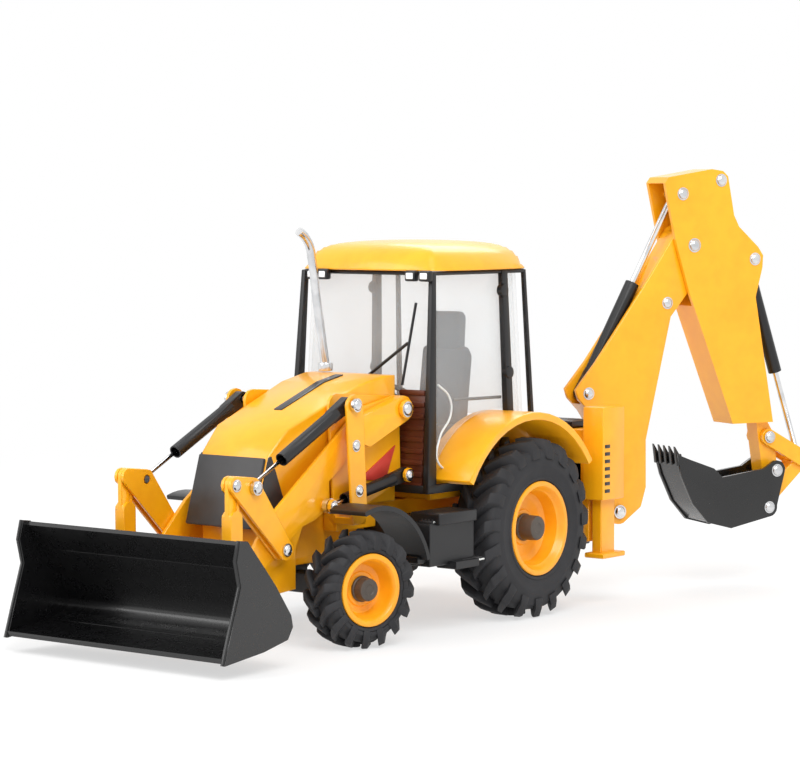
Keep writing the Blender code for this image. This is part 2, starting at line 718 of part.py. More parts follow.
def make_roof():
    # A crowned slab with soft edges.
    low = CAB_TOP + GAP
    bm = bmesh.new()
    bmesh.ops.create_grid(bm, x_segments=6, y_segments=6, size=1.0)
    half_x = (ROOF_REAR - ROOF_FRONT) / 2
    middle = (ROOF_REAR + ROOF_FRONT) / 2
    drawn = bmesh.ops.extrude_face_region(bm, geom=list(bm.faces))["geom"]
    for vert in [v for v in drawn if isinstance(v, bmesh.types.BMVert)]:
        rim = max(abs(vert.co.x), abs(vert.co.y))
        vert.co.z = ROOF_RISE * (1.0 - 0.42 * rim ** 4 - 0.1 * (vert.co.x ** 2 + vert.co.y ** 2))
        vert.co.x *= 0.955
        vert.co.y *= 0.955
    for vert in bm.verts:
        corner = abs(vert.co.x * vert.co.y)
        vert.co.x = middle + vert.co.x * half_x * (1.0 - 0.05 * corner)
        vert.co.y = vert.co.y * ROOF_HALF * (1.0 - 0.05 * corner)
        vert.co.z += low
    piece("cab_roof", mesh_shape(bm), "yellow_paint", MACHINE)


def make_seat():
    floor = cab_floor()
    half = 7.5 * MM
    rear = CAB_REAR - 9.5 * MM
    pedestal = block((rear - 15.0 * MM, -0.6 * half, floor),
                     (rear - 3.0 * MM, 0.6 * half, floor + 11.0 * MM))
    cushion = plate(offsets(Vector((rear, floor)), (-18, 10), (-1, 10), (0, 15), (-17.5, 16)),
                    -half, half)
    back = plate(offsets(Vector((rear, floor)), (-4.5, 12), (0, 12), (2.6, 38), (-1.0, 38.6)),
                 0.15 * MM - half, half - 0.15 * MM)
    rest = plate(offsets(Vector((rear, floor)), (-0.8, 36), (2.2, 36), (2.9, 44), (-0.4, 44.6)),
                 -0.6 * half, 0.6 * half)
    piece("operator_seat", fuse(pedestal, cushion, back, rest), "grey_plastic", MACHINE)


def make_console():
    # The dashboard with the steering column and its wheel.
    floor = cab_floor()
    front = CAB_FRONT + 6.0 * MM
    desk = plate(offsets(Vector((front, floor)), (0, 0), (7.0, 0), (5.0, 17), (0, 19)), -9.0 * MM,
                 9.0 * MM)
    hub = Vector((front + 10.0 * MM, 0.0, floor + 23.0 * MM))
    column = cylinder((front + 3.0 * MM, 0.0, floor + 14.0 * MM), hub, 0.9 * MM, 12)
    wheel = turned([(4.3 * MM, -0.5 * MM), (5.3 * MM, -0.5 * MM), (5.3 * MM, 0.5 * MM),
                    (4.3 * MM, 0.5 * MM)], 20)
    spoke = cylinder((-4.8 * MM, 0.0, 0.0), (4.8 * MM, 0.0, 0.0), 0.42 * MM, 8)
    wheel = fuse(wheel, spoke)
    axis = hub - Vector((front + 3.0 * MM, 0.0, floor + 14.0 * MM))
    turn = Vector((0.0, 1.0, 0.0)).rotation_difference(axis).to_matrix().to_4x4()
    wheel.data.transform(Matrix.Translation(hub) @ turn)
    piece("operator_console", fuse(desk, column, wheel), "charcoal_plastic", MACHINE)


def make_exhaust():
    radius = 1.15 * MM
    base_z = hood_outline(0.0)[-2].y + GAP
    x, y = HOOD_REAR - 2.2 * MM, HOOD_HALF - 4.6 * MM
    route = [(0.0, 0.0), (-3.6, 18.0), (-5.4, 28.0), (-6.2, 31.0), (-8.2, 33.6), (-10.4, 35.0)]
    curve = bpy.data.curves.new("exhaust", "CURVE")
    curve.dimensions = "3D"
    curve.bevel_depth = radius
    curve.bevel_resolution = 2
    curve.use_fill_caps = True
    spline = curve.splines.new("POLY")
    spline.points.add(len(route) - 1)
    for point, (dx, dz) in zip(spline.points, route):
        point.co = (x + dx * MM, y, base_z + radius + dz * MM, 1.0)
    source = bpy.data.objects.new("exhaust", curve)
    PARTS.objects.link(source)
    pipe = shape_from(source)
    collar = cylinder((x, y, base_z), (x, y, base_z + 2.2 * MM), 1.9 * MM, 14)
    piece("exhaust_stack", fuse(pipe, collar), "chrome", MACHINE, smooth=True)


def make_steps(side, name):
    # The front mudguard runs down into the step box beside the chassis.
    centre = (FRONT_AXLE_X, FRONT_TYRE_R)
    end = asin((STEP_LOW + 2.5 * MM - FRONT_TYRE_R) / GUARD_R)
    inner_r = GUARD_R - GUARD_THICK
    guard = arc(centre, GUARD_R, end, radians(108), 14) + arc(centre, inner_r, radians(108), end, 14)
    box = block((STEP_FRONT, span(side, CHASSIS_HALF + GAP, STEP_OUTER)[0], STEP_LOW),
                (STEP_REAR, span(side, CHASSIS_HALF + GAP, STEP_OUTER)[1], STEP_HIGH))
    tread_z = STEP_HIGH + 2.4 * MM
    tread_low, tread_high = span(side, STEP_OUTER - 8.0 * MM, STEP_OUTER + 1.2 * MM)
    tread = block((STEP_FRONT + 2.5 * MM, tread_low, STEP_HIGH - 0.5 * MM),
                  (STEP_REAR - 0.4 * MM, tread_high, tread_z))
    low_step = block((STEP_FRONT + 8.0 * MM,
                      span(side, STEP_OUTER - 4.0 * MM, STEP_OUTER + 2.2 * MM)[0], STEP_LOW - 1.2 * MM),
                     (STEP_REAR - 0.8 * MM,
                      span(side, STEP_OUTER - 4.0 * MM, STEP_OUTER + 2.2 * MM)[1], STEP_LOW + 0.8 * MM))
    reach = FRONT_AXLE_X + GUARD_R * cos(end)
    stay = block((reach - 2.0 * MM, span(side, GUARD_INNER + 1.0 * MM, STEP_OUTER - 1.0 * MM)[0],
                  STEP_LOW + 1.0 * MM),
                 (STEP_FRONT + 1.0 * MM,
                  span(side, GUARD_INNER + 1.0 * MM, STEP_OUTER - 1.0 * MM)[1], STEP_LOW + 3.0 * MM))
    shape = fuse(box, tread, low_step, stay, plate(guard, *span(side, GUARD_INNER, GUARD_OUTER)))
    piece(name + "_step_moulding", shape, "black_plastic", MACHINE)


# Loader

def make_tower(side, name):
    # An inner plate that carries the arm and the lift ram, and an outer strip for the tilt ram's pin.
    inner = span(side, TOWER_INNER, TOWER_INNER + TOWER_THICK)
    outer = span(side, STRIP_INNER, STRIP_INNER + TOWER_THICK)
    foot_z = CHASSIS_HIGH - 3.2 * MM
    foot_x = TILT_BASE.x + 2.4 * MM
    foot_eye = (Vector((foot_x, foot_z + 3.0 * MM)), 3.0 * MM)
    head = (TILT_BASE + Vector((0.6, -0.6)) * MM, 3.2 * MM)
    shape = plate(strap(head, (ARM_PIVOT, 3.4 * MM), (LIFT_BASE, 3.0 * MM), foot_eye), *inner)
    strip = plate(strap(head, foot_eye), *outer, holes=[(TILT_BASE, PIN_R + PIN_PLAY)])
    foot_low, foot_high = span(side, TOWER_INNER + 0.1 * MM, STRIP_INNER + TOWER_THICK - 0.1 * MM)
    foot = block((foot_x - 2.4 * MM, foot_low, foot_z),
                 (foot_x + 2.4 * MM, foot_high, foot_z + 1.8 * MM))
    flange_low, flange_high = span(side, CHASSIS_HALF + GAP, TOWER_INNER + TOWER_THICK - 0.1 * MM)
    flange = block((foot_x - 2.0 * MM, flange_low, foot_z - 2.0 * MM),
                   (STEP_FRONT - GAP, flange_high, foot_z + 2.4 * MM))
    pins = []
    for pin, radius, reach in ((ARM_PIVOT, 1.5 * MM, ARM_INNER + ARM_THICK + ARM_BAR + GAP),
                               (LIFT_BASE, PIN_R, RAM_PLANE + LEVER_HALF - GAP)):
        pins.append(cross_pin(pin, *span(side, TOWER_INNER + 0.3 * MM, reach + HEAD_THICK / 2), radius))
        pins.append(cross_pin(pin, *span(side, reach, reach + HEAD_THICK), radius + 0.9 * MM))
    piece(name + "_loader_tower", fuse(shape, foot, strip, flange, *pins), "yellow_paint", MACHINE)


def arm_outline():
    return (arc(ARM_PIVOT, 3.4 * MM, radians(-80), radians(100), 6)
            + offsets(ARM_PIVOT, (-14.0, 1.0), (-20.5, -3.6), (-45.5, -21.4), (-53.0, -28.6))
            + arc(BUCKET_PIVOT, 3.2 * MM, radians(150), radians(275), 5)
            + offsets(BUCKET_PIVOT, (10.5, -0.4), (20.6, 0.4), (20.6, 10.2), (23.2, 15.4), (28.0, 16.6))
            + offsets(LIFT_TIP, (2.6, -0.6), (2.4, 5.6))
            + offsets(ARM_PIVOT, (-15.6, -9.6)))


def make_arms():
    # Two plates with a thick bar behind, pins for the levers, the bucket and the lift rams,
    # and a cross tube.
    low, high = ARM_INNER, ARM_INNER + ARM_THICK
    bar_end = ARM_PIVOT + Vector((-13.4, -4.4)) * MM
    bar = strap((ARM_PIVOT, 3.4 * MM), (bar_end, 4.2 * MM))
    hole = (ARM_PIVOT, 1.5 * MM + PIN_PLAY)
    reach = RAM_PLANE + LEVER_HALF
    shapes = []
    for side, _ in SIDES:
        arm = plate(arm_outline(), *span(side, low, high), holes=[hole])
        rear = plate(bar, *span(side, high - 0.3 * MM, high + ARM_BAR), holes=[hole])
        pins = [cross_pin(LEVER_PIVOT, *span(side, high - 0.3 * MM, reach + GAP), PIN_R),
                cross_pin(LIFT_TIP, *span(side, high - 0.3 * MM, reach - GAP), PIN_R),
                cross_pin(LIFT_TIP, *span(side, reach - 2 * GAP, reach - 2 * GAP + HEAD_THICK), HEAD_R),
                cross_pin(BUCKET_PIVOT, *span(side, low - 1.3 * MM, high + 1.3 * MM), 1.2 * MM)]
        shapes.append(fuse(arm, rear, *pins))
    tube_at = BUCKET_PIVOT + Vector((8.4, 7.0)) * MM
    tube = cross_pin(tube_at, -low - ARM_THICK / 2, low + ARM_THICK / 2, 2.0 * MM, 14)
    piece("loader_arms", fuse(tube, *shapes), "yellow_paint", MACHINE, at(ARM_PIVOT))


def make_lever(side, name):
    # Two straps that hold the tilt ram's rod and the bucket link between them.
    inner = RAM_PLANE - LEVER_HALF
    outer = RAM_PLANE + LEVER_HALF
    outline = strap((LEVER_PIVOT, 2.5 * MM), (TILT_TIP, 2.5 * MM), (LINK_HEAD, 2.2 * MM))
    holes = [(LEVER_PIVOT, PIN_R + PIN_PLAY), (TILT_TIP, PIN_R + PIN_PLAY)]
    middle = LEVER_PIVOT.lerp(TILT_TIP, 0.5)
    spacer = cross_pin(middle, *span(side, inner + 0.3 * MM, outer - 0.3 * MM), 1.4 * MM)
    pin = cross_pin(LINK_HEAD, *span(side, inner + 0.2 * MM, outer - 0.2 * MM), PIN_R)
    shape = fuse(spacer, plate(outline, *span(side, inner, inner + LEVER_THICK), holes=holes),
                 plate(outline, *span(side, outer - LEVER_THICK, outer), holes=holes), pin)
    piece(name + "_bucket_lever", shape, "yellow_paint", MACHINE, at(LEVER_PIVOT, side * RAM_PLANE))


def make_link(side, name):
    # A bar that is thin at its eyes and as wide as the lever between them.
    thin = LEVER_HALF - LEVER_THICK - 0.15 * MM
    down = (LINK_FOOT - LINK_HEAD).normalized()
    bar = strap((LINK_HEAD, 2.1 * MM), (LINK_FOOT, 2.1 * MM))
    wide = strap((LINK_HEAD + down * 8.2 * MM, 2.2 * MM), (LINK_FOOT - down * 7.4 * MM, 2.2 * MM))
    hole = (LINK_HEAD, PIN_R + PIN_PLAY)
    shape = fuse(plate(bar, *span(side, RAM_PLANE - thin, RAM_PLANE + thin), holes=[hole]),
                 plate(wide, *span(side, RAM_PLANE - LEVER_HALF, RAM_PLANE + LEVER_HALF)))
    piece(name + "_bucket_link", shape, "yellow_paint", MACHINE, at(LINK_HEAD, side * RAM_PLANE))


def make_bucket():
    # A folded sheet with side plates, and lugs behind it for the arms and the links.
    back = offsets(BUCKET_PIVOT, (-20.6, 17.2), (-10.5, 5.9), (-5.2, -1.4), (-4.6, -4.0),
                   (-6.2, -6.5), (-14.5, -8.4),
                   (-27.6, -10.0))
    sheet = plate(thicken(back, -BUCKET_SHEET), 0.2 * MM - BUCKET_HALF, BUCKET_HALF - 0.2 * MM)
    cheek = offsets(BUCKET_PIVOT, (-20.0, 17.3), (-10.3, 6.2), (-4.8, -1.3), (-4.2, -4.1),
                    (-6.0, -6.9), (-14.5, -8.8),
                    (-28.0, -10.4), (-25.9, -3.9), (-22.2, 7.1), (-23.6, 13.0), (-22.4, 17.6))
    shape = sheet
    for side, _ in SIDES:
        shape = fuse(shape, plate(cheek, *span(side, BUCKET_HALF - BUCKET_SIDE, BUCKET_HALF)))
        root = BUCKET_PIVOT + Vector((-6.5, -1.5)) * MM
        crown = BUCKET_PIVOT + Vector((-10.2, 5.4)) * MM
        hole = (BUCKET_PIVOT, 1.2 * MM + PIN_PLAY)
        pivot_eye = (BUCKET_PIVOT, 2.6 * MM)
        link_eye = (LINK_FOOT, 2.2 * MM)
        back_eyes = ((crown, 0.5 * MM), (root, 0.8 * MM))
        arm_outer = ARM_INNER + ARM_THICK + GAP
        link_outer = RAM_PLANE + LEVER_HALF - LEVER_THICK + GAP
        lugs = [plate(strap(pivot_eye, *back_eyes),
                      *span(side, ARM_INNER - GAP - LEVER_THICK, ARM_INNER - GAP), holes=[hole]),
                plate(strap(pivot_eye, link_eye, *back_eyes),
                      *span(side, arm_outer, arm_outer + 0.6 * MM), holes=[hole]),
                plate(strap(link_eye, *back_eyes), *span(side, link_outer, link_outer + LEVER_THICK))]
        shape = fuse(shape, *lugs)
    piece("loader_bucket", shape, "black_plastic", MACHINE, at(BUCKET_PIVOT))


def ram_barrel(base, tip, y, radius, bore, length, eye_r, eye_half, hole_r):
    # A tube that starts a little way from its pin, with a flat eye round the pin.
    along = (tip - base).normalized()
    start = base + along * (eye_r + 2.6 * MM)
    end = base + along * length
    tube = cylinder(at(start, y), at(end, y), radius, 14)
    tongue = plate(strap((base, eye_r), (start + along * 1.5 * MM, eye_r * 0.85)), y - eye_half,
                   y + eye_half)
    bore_from = start + along * 1.6 * MM
    hollow = cylinder(at(bore_from, y), at(end + along * 2 * MM, y), bore, 12)
    hole = cross_pin(base, y - 2 * eye_half, y + 2 * eye_half, hole_r)
    return cut(fuse(tube, tongue), hollow, hole)


def ram_rod(base, tip, y, radius, length, eye_r, eye_half, hole_r):
    along = (base - tip).normalized()
    rod = cylinder(at(tip + along * (hole_r + 0.5 * MM), y), at(tip + along * length, y), radius, 10)
    eye = cross_pin(tip, y - eye_half, y + eye_half, eye_r, 14)
    hole = cross_pin(tip, y - 2 * eye_half, y + 2 * eye_half, hole_r)
    return cut(fuse(eye, rod), hole)


def head_pin(pin, side, inner, outer):
    shank = cross_pin(pin, *span(side, inner, outer + HEAD_THICK / 2), PIN_R)
    head = cross_pin(pin, *span(side, outer, outer + HEAD_THICK), HEAD_R, 14)
    return fuse(shank, head)


def make_loader_rams(side, name):
    y = side * RAM_PLANE
    hole = PIN_R + PIN_PLAY
    eye = 1.9 * MM
    thin = LEVER_HALF - LEVER_THICK - 0.15 * MM
    barrel = ram_barrel(TILT_BASE, TILT_TIP, y, TILT_BARREL_R, TILT_BORE_R, TILT_BARREL_LENGTH, eye,
                        1.1 * MM, hole)
    rod = ram_rod(TILT_BASE, TILT_TIP, y, TILT_ROD_R, TILT_ROD_LENGTH, eye, thin, hole)
    piece(name + "_tilt_ram_barrel", barrel, "black_plastic", MACHINE, at(TILT_BASE, y))
    piece(name + "_tilt_ram_rod", rod, "chrome", MACHINE, at(TILT_TIP, y))
    tower_pin = head_pin(TILT_BASE, side, RAM_PLANE - LEVER_HALF, STRIP_INNER + TOWER_THICK + GAP)
    piece(name + "_tower_pin", tower_pin, "chrome", MACHINE, at(TILT_BASE, y))
    lever_pin = head_pin(TILT_TIP, side, RAM_PLANE - LEVER_HALF, RAM_PLANE + LEVER_HALF + GAP)
    piece(name + "_lever_pin", lever_pin, "chrome", MACHINE, at(TILT_TIP, y))
    lift = ram_barrel(LIFT_BASE, LIFT_TIP, y, LIFT_BARREL_R, LIFT_BORE_R, LIFT_BARREL_LENGTH, eye,
                      0.8 * MM, hole)
    lift_rod = ram_rod(LIFT_BASE, LIFT_TIP, y, LIFT_ROD_R, LIFT_ROD_LENGTH, eye, 0.7 * MM, hole)
    piece(name + "_lift_ram_barrel", lift, "black_plastic", MACHINE, at(LIFT_BASE, y))
    piece(name + "_lift_ram_rod", lift_rod, "chrome", MACHINE, at(LIFT_TIP, y))


# Rear frame, stabilisers and backhoe

def leg_size():
    half_x = SLEEVE_LENGTH / 2 - SLEEVE_WALL - GAP
    low = FRAME_HALF + SLEEVE_WALL + GAP
    return half_x, low, SLEEVE_OUTER - SLEEVE_WALL - GAP


def make_rear_frame():
    # Two rails between end plates, a centre plate on the chassis and a sleeve for each leg.
    centre_x = CHASSIS_REAR + GAP
    shape = block((centre_x, -CHASSIS_HALF - 2.5 * MM, RAIL_LOW + 0.2 * MM),
                  (FRAME_FRONT + 0.5 * MM, CHASSIS_HALF + 2.5 * MM, RAIL_HIGH - 0.2 * MM))
    for low in (RAIL_LOW, RAIL_HIGH - RAIL_HEIGHT):
        shape = fuse(shape, block((FRAME_FRONT, -FRAME_HALF + 0.5 * MM, low),
                                  (FRAME_REAR, FRAME_HALF - 0.5 * MM, low + RAIL_HEIGHT)))
    half_x, leg_low, leg_high = leg_size()
    for side, _ in SIDES:
        end_low, end_high = span(side, FRAME_HALF - 2.3 * MM, FRAME_HALF + 0.5 * MM)
        shape = fuse(shape, block((FRAME_FRONT - 0.2 * MM, end_low, RAIL_LOW - 0.2 * MM),
                                  (FRAME_REAR - 0.2 * MM, end_high, RAIL_HIGH - 0.3 * MM)))
        low, high = span(side, FRAME_HALF, SLEEVE_OUTER)
        sleeve = block((SLEEVE_X - SLEEVE_LENGTH / 2, low, SLEEVE_LOW),
                       (SLEEVE_X + SLEEVE_LENGTH / 2, high, SLEEVE_TOP))
        shape = fuse(shape, sleeve)
        bore_low, bore_high = span(side, leg_low - GAP, leg_high + GAP)
        shape = cut(shape, block((SLEEVE_X - half_x - GAP, bore_low, SLEEVE_LOW - 15.0 * MM),
                                 (SLEEVE_X + half_x + GAP, bore_high, SLEEVE_TOP - SLEEVE_WALL)))
    piece("rear_frame", shape, "yellow_paint", MACHINE)


def make_stabiliser(side, name):
    half_x, low, high = leg_size()
    y_low, y_high = span(side, low, high)
    leg = block((SLEEVE_X - half_x, y_low, LEG_LOW + FOOT_THICK / 2),
                (SLEEVE_X + half_x, y_high, LEG_TOP))
    foot_low, foot_high = span(side, low - 0.9 * MM, high + 2.0 * MM)
    foot = block((SLEEVE_X - FOOT_LENGTH / 2, foot_low, LEG_LOW),
                 (SLEEVE_X + FOOT_LENGTH / 2, foot_high, LEG_LOW + FOOT_THICK))
    pivot = Vector((SLEEVE_X, side * (low + high) / 2, LEG_TOP))
    piece(name + "_stabiliser_leg", fuse(leg, foot), "yellow_paint", MACHINE, pivot)


def make_carriage():
    # A plate that hooks over the upper rail, with two lugs that hold the kingpost.
    front = FRAME_REAR + GAP
    back = front + CARRIAGE_THICK
    low, high = RAIL_LOW - 2.0 * MM, RAIL_HIGH + GAP + 1.8 * MM
    panel = block((front, -CARRIAGE_HALF, low), (back, CARRIAGE_HALF, high))
    hook = block((FRAME_FRONT + 1.0 * MM, 0.1 * MM - CARRIAGE_HALF, RAIL_HIGH + GAP),
                 (back - 0.1 * MM, CARRIAGE_HALF - 0.1 * MM, high - 0.1 * MM))
    shape = fuse(panel, hook)
    for z in (KINGPOST_HIGH + GAP, KINGPOST_LOW - GAP - LUG_HEIGHT):
        arm = block((back - 0.5 * MM, -KINGPOST_R, z), (SLEW_X, KINGPOST_R, z + LUG_HEIGHT))
        boss = cylinder((SLEW_X, 0.0, z), (SLEW_X, 0.0, z + LUG_HEIGHT), KINGPOST_R, 24)
        shape = fuse(shape, fuse(boss, arm))
    hole = cylinder((SLEW_X, 0.0, 0.0), (SLEW_X, 0.0, RAIL_HIGH), SLEW_PIN_R + PIN_PLAY, 16)
    piece("sideshift_carriage", cut(shape, hole), "black_plastic", CARRIAGE)


def make_kingpost():
    # Turns on a vertical pin and carries the boom's foot pin behind it.
    pin = cylinder((0.0, 0.0, KINGPOST_LOW - LUG_HEIGHT), (0.0, 0.0, KINGPOST_HIGH + LUG_HEIGHT),
                   SLEW_PIN_R, 16)
    post = cylinder((0.0, 0.0, KINGPOST_LOW), (0.0, 0.0, KINGPOST_HIGH), KINGPOST_R, 24)
    half = BOOM_SLOT_HALF - GAP
    root_low = Vector((1.0 * MM, KINGPOST_LOW + 1.2 * MM))
    root_high = Vector((1.0 * MM, KINGPOST_LOW + 9.0 * MM))
    tongue = plate(strap((BOOM_PIVOT, 3.0 * MM), (root_low, 1.0 * MM), (root_high, 1.0 * MM)),
                   -half, half)
    foot_pin = cross_pin(BOOM_PIVOT, -BOOM_HALF - 0.5 * MM, BOOM_HALF + 0.5 * MM, 1.1 * MM)
    piece("kingpost", fuse(post, pin, tongue, foot_pin), "black_plastic", BACKHOE)


def boom_outline():
    tip = DIPPER_PIVOT
    return (offsets(BOOM_KNEE, (0.4, -5.1), (-3.2, -1.4), (-4.0, 1.1), (2.4, 8.6), (18.3, 30.2))
            + arc(tip, 6.3 * MM, radians(150), radians(-35), 10)
            + offsets(tip, (-1.0, -13.2), (-6.6, -19.9))
            + offsets(BOOM_PIVOT, (8.7, 19.6), (8.8, 6.5), (7.2, 1.0))
            + arc(BOOM_PIVOT, 3.5 * MM, radians(-50), radians(-150), 6)
            + offsets(BOOM_PIVOT, (-3.1, 4.5), (-3.2, 18.5)))


def make_boom():
    base = plate(boom_outline(), -BOOM_HALF, BOOM_HALF,
                 holes=[(BOOM_PIVOT, 1.1 * MM + PIN_PLAY), (DIPPER_PIVOT, 1.3 * MM + PIN_PLAY)])
    along = (DIPPER_RAM_TIP - BOOM_KNEE).normalized()
    across = Vector((along.y, -along.x))
    deep = DIPPER_BARREL_R + 1.0 * MM
    back = BOOM_KNEE - along * 3.4 * MM
    front = BOOM_KNEE + along * 46.0 * MM
    channel = plate([back + across * deep, back - across * 14 * MM, front - across * 14 * MM,
                     front + across * deep], -BOOM_SLOT_HALF, BOOM_SLOT_HALF)
    wedge = strap((BOOM_PIVOT, 4.1 * MM), (BOOM_PIVOT + Vector((-14.0, 14.5)) * MM, 2.0 * MM),
                  (BOOM_PIVOT + Vector((-14.0, -14.0)) * MM, 2.0 * MM))
    fork = plate(wedge, -BOOM_SLOT_HALF, BOOM_SLOT_HALF)
    boom = cut(base, channel, fork)
    pin = cross_pin(BOOM_KNEE, 0.2 * MM - BOOM_HALF, BOOM_HALF - 0.2 * MM, BACKHOE_PIN_R)
    piece("backhoe_boom", fuse(boom, pin), "yellow_paint", BACKHOE, at(BOOM_PIVOT))


def dipper_outline():
    top = DIPPER_RAM_TIP
    ear = SCOOP_RAM_BASE
    foot = TIP_LEVER_PIVOT
    return (offsets(top, (-5.8, 3.0), (-4.6, 4.6), (9.6, 6.9), (13.2, 6.4), (14.9, 4.9),
                    (17.0, -6.0), (18.7, -9.2))
            + offsets(ear, (1.1, 3.4), (2.8, 1.0), (2.6, -2.4), (0.4, -10.7))
            + offsets(foot, (0.7, 4.3), (-12.8, 4.2))
            + offsets(DIPPER_PIVOT, (-1.6, -13.0), (-6.0, 1.0)))


def make_dipper():
    body = plate(dipper_outline(), -DIPPER_HALF, DIPPER_HALF)
    pivot = DIPPER_PIVOT
    room = 7.8 * MM
    mouth = [pivot + Vector((-20.0 * MM, -22.0 * MM)), pivot + Vector((-0.5 * MM, -17.5 * MM)),
             pivot + Vector((room, -8.5 * MM)),
             pivot + Vector((room, 8.0 * MM)),
             Vector((pivot.x + 0.5 * room, DIPPER_RAM_TIP.y + 2.9 * MM)),
             Vector((pivot.x - 20.0 * MM, DIPPER_RAM_TIP.y + 2.9 * MM))]
    fork = plate(mouth, -DIPPER_SLOT_HALF, DIPPER_SLOT_HALF)
    ear_half = SCOOP_BARREL_R + 0.4 * MM
    ear_slot = block((SCOOP_RAM_BASE.x - 3.0 * MM, -ear_half, SCOOP_RAM_BASE.y - 12.0 * MM),
                     (SCOOP_RAM_BASE.x + 8.0 * MM, ear_half, SCOOP_RAM_BASE.y + 6.0 * MM))
    body = cut(body, fork, ear_slot)
    neck = TIP_LEVER_PIVOT + Vector((-2.5, 6.5)) * MM
    nose = plate(strap((TIP_LEVER_PIVOT, 2.6 * MM), (SCOOP_PIVOT, 2.6 * MM), (neck, 1.2 * MM)),
                 -NOSE_HALF, NOSE_HALF,
                 holes=[(SCOOP_PIVOT, BACKHOE_PIN_R + PIN_PLAY)])
    pins = [cross_pin(DIPPER_PIVOT, 0.2 * MM - DIPPER_HALF, DIPPER_HALF - 0.2 * MM, 1.3 * MM),
            cross_pin(DIPPER_RAM_TIP, 0.2 * MM - DIPPER_HALF, DIPPER_HALF - 0.2 * MM, BACKHOE_PIN_R),
            cross_pin(SCOOP_RAM_BASE, 0.2 * MM - DIPPER_HALF, DIPPER_HALF - 0.2 * MM, BACKHOE_PIN_R),
            cross_pin(TIP_LEVER_PIVOT, -NOSE_HALF - 1.9 * MM, NOSE_HALF + 1.9 * MM, BACKHOE_PIN_R)]
    piece("backhoe_dipper", fuse(body, nose, *pins), "yellow_paint", BACKHOE, at(DIPPER_PIVOT))


def make_tipping_gear():
    hole = BACKHOE_PIN_R + PIN_PLAY
    plate_low = NOSE_HALF + GAP
    plate_high = plate_low + 1.1 * MM
    along = (TIP_LEVER_END - TIP_LEVER_PIVOT).normalized()
    bar = strap((TIP_LEVER_PIVOT, 2.3 * MM), (TIP_LEVER_END, 2.3 * MM))
    bridge_from = TIP_LEVER_PIVOT + along * 7.0 * MM
    bridge = plate(strap((bridge_from, 1.1 * MM), (bridge_from + along * 1.6 * MM, 1.1 * MM)),
                   -plate_high + 0.2 * MM, plate_high - 0.2 * MM)
    shape = bridge
    for side, _ in SIDES:
        shape = fuse(shape, plate(bar, *span(side, plate_low, plate_high),
                                  holes=[(TIP_LEVER_PIVOT, hole)]))
    shape = fuse(shape, cross_pin(TIP_LEVER_END, 0.2 * MM - plate_high, plate_high - 0.2 * MM,
                                  BACKHOE_PIN_R))
    piece("tipping_lever", shape, "yellow_paint", BACKHOE, at(TIP_LEVER_PIVOT))

    rod_half = 1.3 * MM
    link_bar = strap((TIP_LEVER_END, 2.1 * MM), (SCOOP_LINK, 2.2 * MM))
    link = plate(link_bar, -NOSE_HALF, NOSE_HALF, holes=[(TIP_LEVER_END, hole)])
    run = (SCOOP_LINK - TIP_LEVER_END).normalized()
    room = strap((TIP_LEVER_END, 3.6 * MM), (TIP_LEVER_END - run * 3.0 * MM, 3.6 * MM))
    slot = plate(room, -rod_half - GAP, rod_half + GAP)
    piece("tipping_link", cut(link, slot), "yellow_paint", BACKHOE, at(TIP_LEVER_END))


def make_scoop():
    # A curved sheet between two side plates that reach back to the pivot, with teeth on its lip.
    lip = SCOOP_PIVOT
    outer = offsets(lip, (-33.0, 5.6), (-31.2, -0.4), (-27.6, -8.0), (-22.8, -13.4), (-15.2, -15.4),
                    (-8.6, -14.0), (-6.4, -12.4))
    shape = plate(thicken(outer, SCOOP_SHEET), 0.3 * MM - SCOOP_HALF, SCOOP_HALF - 0.3 * MM)
    cheek = (offsets(lip, (-33.4, 5.9), (-31.6, -0.6), (-27.9, -8.3), (-23.0, -13.8),
                     (-15.2, -15.8), (-7.4, -14.2))
             + arc(SCOOP_LINK, 2.7 * MM, radians(-80), radians(10), 5)
             + arc(lip, 2.8 * MM, radians(-10), radians(120), 7)
             + offsets(lip, (-4.4, 0.6), (-18.2, -1.2), (-21.0, 1.4), (-29.0, 4.2)))
    for side, _ in SIDES:
        shape = fuse(shape, plate(cheek, *span(side, SCOOP_HALF - SCOOP_SHEET, SCOOP_HALF)))
        stub = cross_pin(SCOOP_LINK, *span(side, NOSE_HALF + GAP, SCOOP_HALF - 0.4 * MM), BACKHOE_PIN_R)
        shape = fuse(shape, stub)
    shape = fuse(shape, cross_pin(lip, 0.2 * MM - SCOOP_HALF, SCOOP_HALF - 0.2 * MM, BACKHOE_PIN_R))
    tooth = offsets(lip, (-33.2, 2.6), (-31.0, 3.6), (-33.9, 8.0))
    pitch = (2 * SCOOP_HALF - 1.4 * MM) / (SCOOP_TEETH - 1)
    for i in range(SCOOP_TEETH):
        y = 0.7 * MM - SCOOP_HALF + i * pitch
        shape = fuse(shape, plate(tooth, y - 0.6 * MM, y + 0.6 * MM))
    piece("backhoe_bucket", shape, "charcoal_plastic", BACKHOE, at(SCOOP_PIVOT))


